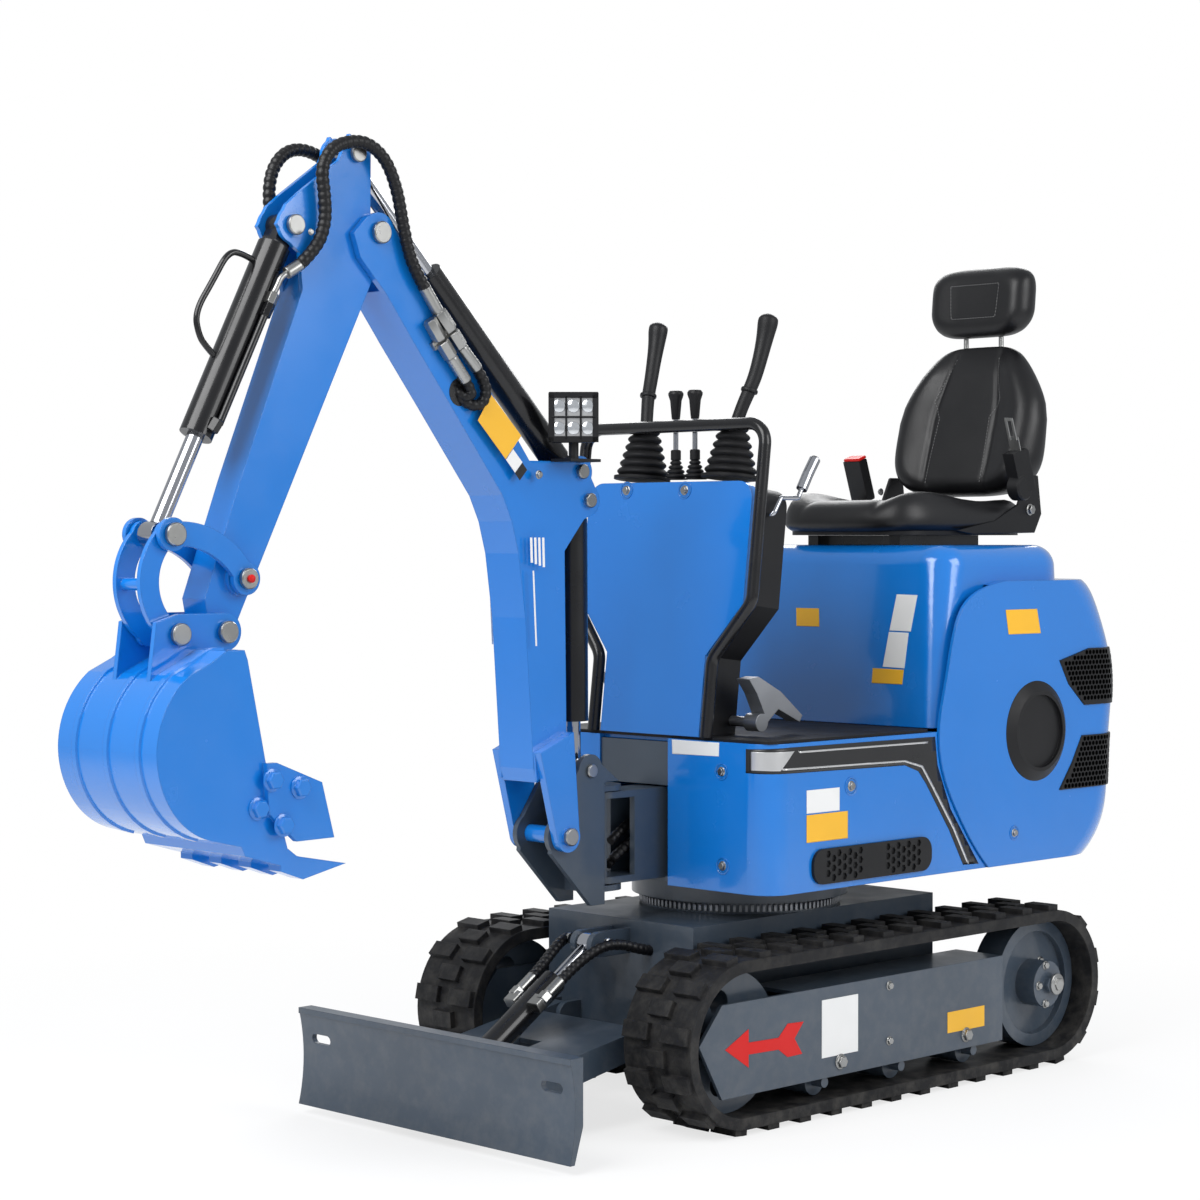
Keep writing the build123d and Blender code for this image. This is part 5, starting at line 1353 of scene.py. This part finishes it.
# %% [markdown]
# ## Straps, handle and pipes at the bucket
#
# Flat wear straps run round the bucket's back. A ray sent inward at each step of an arc finds the
# shell, and the strap is a shallow ridge joined from one hit to the next. The bucket's cylinder has
# a bent handle and a steel pipe on each side.

# %% Wear straps on the bucket's back
STRAP_SPREAD = (-96, 0, 96)
STRAP_STEPS = 27
STRAP_START = 205
STRAP_STEP = 8
STRAP_SINK = 0.002
STRAP_HEIGHT = 0.004
STRAP_HALF = Vector((0, 0.009, 0))
bucket_tree = surface_tree("bucket")
work = bmesh.new()
for y in STRAP_SPREAD:
    rows = []
    centre = Vector((slew_x + 1.545, y / 1000, 0.84))
    for step in range(STRAP_STEPS):
        angle = radians(STRAP_START - STRAP_STEP * step)
        out = Vector((cos(angle - pi / 2), 0, sin(angle - pi / 2)))
        hit, normal, index, far = bucket_tree.ray_cast(centre + out * 0.6, -out, 0.6)
        if hit is None or (hit - centre).length <= 0.1:
            continue
        foot = hit - out * STRAP_SINK
        top = hit + out * STRAP_HEIGHT
        rows.append([work.verts.new(foot - STRAP_HALF), work.verts.new(top - STRAP_HALF * 0.7),
                     work.verts.new(top + STRAP_HALF * 0.7), work.verts.new(foot + STRAP_HALF)])
    for one, two in zip(rows, rows[1:]):
        for k in range(3):
            work.faces.new((one[k], one[k + 1], two[k + 1], two[k]))
straps = make("bucket_straps", work, "bucket", blue_paint)
print("straps", len(straps.data.vertices))

# %% Handle and pipe on the bucket's cylinder
rod("cylinder_handle", spots((
    (1330, 0, 1692), (1352, 0, 1702), (1386, 0, 1704), (1420, 0, 1650), (1462, 0, 1588),
    (1452, 0, 1546), (1436, 0, 1528), (1420, 0, 1514))), [0.006] * 8, "bucket_barrel", black_paint)
work = bmesh.new()
for side in (1, -1):
    y = side * 36
    nut(work, spot(1318, y, 1611), spot(1332, y, 1586), 0.0105)
    nut(work, spot(1436, y, 1396), spot(1448, side * 30, 1374), 0.0125)
    turned(work, [(0.007, 0), (0.007, 0.228)], spot(1331, y, 1590), (0.455, 0, -0.89), 16)
make("cylinder_pipes", work, "bucket_barrel", black_paint)

# %% [markdown]
# ## Hoses at the blade and in the nose
#
# Two short hoses reach from the carriage to crimped ends on the blade's cylinder. Three more show in
# the window of the swing nose, where the boom's hoses pass the kingpin.

# %% Hoses and crimps at the blade's cylinder
BLADE_HOSE_Y = 41
work = bmesh.new()
for side in (1, -1):
    y = side * BLADE_HOSE_Y
    ferrule(work, spot(622, y, 262), spot(585, y, 286), 0.012)
    nut(work, spot(640, y, 250), spot(622, y, 262), 0.014)
    block(work, spot(642, side * 34, 247), ((0.83, 0, -0.55), (0, 1, 0)), (0.03, 0.03, 0.022))
make("blade_hose_ends", work, "blade_barrel", zinc)
for side, label in ((1, "left"), (-1, "right")):
    hose("blade_hose_" + label, spots((
        (587, side * BLADE_HOSE_Y, 285), (556, side * 43, 306), (520, side * 50, 330),
        (478, side * 62, 350), (438, side * 76, 348), (404, side * 86, 336),
        (372, side * 88, 330))), 0.0115, "undercarriage")

# %% Hoses in the nose's window and the throttle's grip
for number, (y, low) in enumerate(((-14, 510), (14, 524), (0, 560))):
    hose("nose_hose_%d" % number, spots((
        (316, y, low + 34), (340, y, low + 30), (368, y * 0.8, low + 14), (392, y * 0.6, low - 2),
        (402, y * 0.5, low - 8))), 0.0105, "upper_works")
rod("throttle_grip", spots(((71, 250, 1307), (63, 250, 1320), (53, 250, 1334),
                            (40, 250, 1352))), [0.009, 0.0105, 0.0115, 0.0085], "upper_works",
    grained_plastic)

# %% [markdown]
# ## Hubs, teeth and the blade's labels
#
# Each drive wheel has a round plate with a middle nut and six bolts, set on the wheel by the same
# ray as the pins. The slewing ring's teeth are small blocks round its rim. Two blank labels lie on
# the blade's top edge.

# %% Hub nuts and caps on the blade's pins
HUB_DX = -628
HUB_Z = 180
HUB_BOLTS = 6
HUB_BOLT_CIRCLE = 0.05
work = bmesh.new()
caps = bmesh.new()
for side, label in ((1, "left"), (-1, "right")):
    wheel = ("sprocket_" + label,)
    outward = (0, side, 0)
    at = Vector((slew_x + HUB_DX / 1000, outer_y(wheel, HUB_DX, HUB_Z, side), HUB_Z / 1000))
    turned(work, [(0.024, -0.001), (0.024, 0.004), (0.021, 0.006)], at, outward, 32)
    hex_bolt(work, at + Vector((0, side * 0.004, 0)), outward, 0.03, 0.005)
    for step in circle(HUB_BOLT_CIRCLE, HUB_BOLTS):
        point = at + Vector((step.x, 0, step.y))
        hit_y = outer_y(wheel, (point.x - slew_x) * 1000, point.z * 1000, side)
        if hit_y is not None:
            point.y = hit_y
            hex_bolt(work, point, outward, 0.016)
    turned(caps, [(0.012, 0), (0.012, 0.006), (0.006, 0.009), (0.0005, 0.0095)],
           spot(463, side * 52, 350), outward, 20)
make("hub_nuts", work, "undercarriage", zinc)
make("blade_pin_caps", caps, "undercarriage", zinc)

# %% The slewing ring's teeth
TEETH = 110
ring = bpy.data.objects["slew_ring"]
ring_points = [ring.matrix_world @ v.co for v in ring.data.vertices]
ring_radius = max(Vector((p.x - slew_x, p.y, 0)).length for p in ring_points)
ring_foot = min(p.z for p in ring_points)
ring_top = max(p.z for p in ring_points)
ring_middle = Vector((slew_x, 0, (ring_foot + ring_top) / 2))
tooth = (0.007, 0.006, (ring_top - ring_foot) * 0.6)
work = bmesh.new()
for out in circle(1, TEETH):
    across = Vector((-out.y, out.x, 0))
    block(work, ring_middle + out * (ring_radius + 0.0015), (out, across), tooth, 0.0015)
make("ring_teeth", work, "undercarriage", raw_steel)
print("ring", round(ring_radius, 3), "teeth", TEETH)

# %% Blank labels on the blade's top edge
blade_tree = surface_tree("blade")
LABELS = ((-318, -232), (318, 420))
EDGE_SEARCH = (935, 941, 947, 953, 959)
for number, (low, high) in enumerate(LABELS):
    rows = []
    for dx in EDGE_SEARCH:
        hit, normal, index, far = blade_tree.ray_cast(spot(dx, (low + high) / 2, 500), (0, 0, -1), 1)
        if hit is not None and hit.z > 0.2:
            rows.append(hit)
    if len(rows) > 1:
        top = max(p.z for p in rows)
        rear, front = rows[0].x, rows[-1].x
        corners = [Vector((x, y / 1000, top)) for x, y in (
            (rear, low), (rear, high), (front, high), (front, low))]
        work = bmesh.new()
        plate(work, corners, UP, 0.0006, 0.0002)
        make("blade_label_%d" % number, work, "blade", plate_white)
        print("label", number, round(top, 3), len(rows))
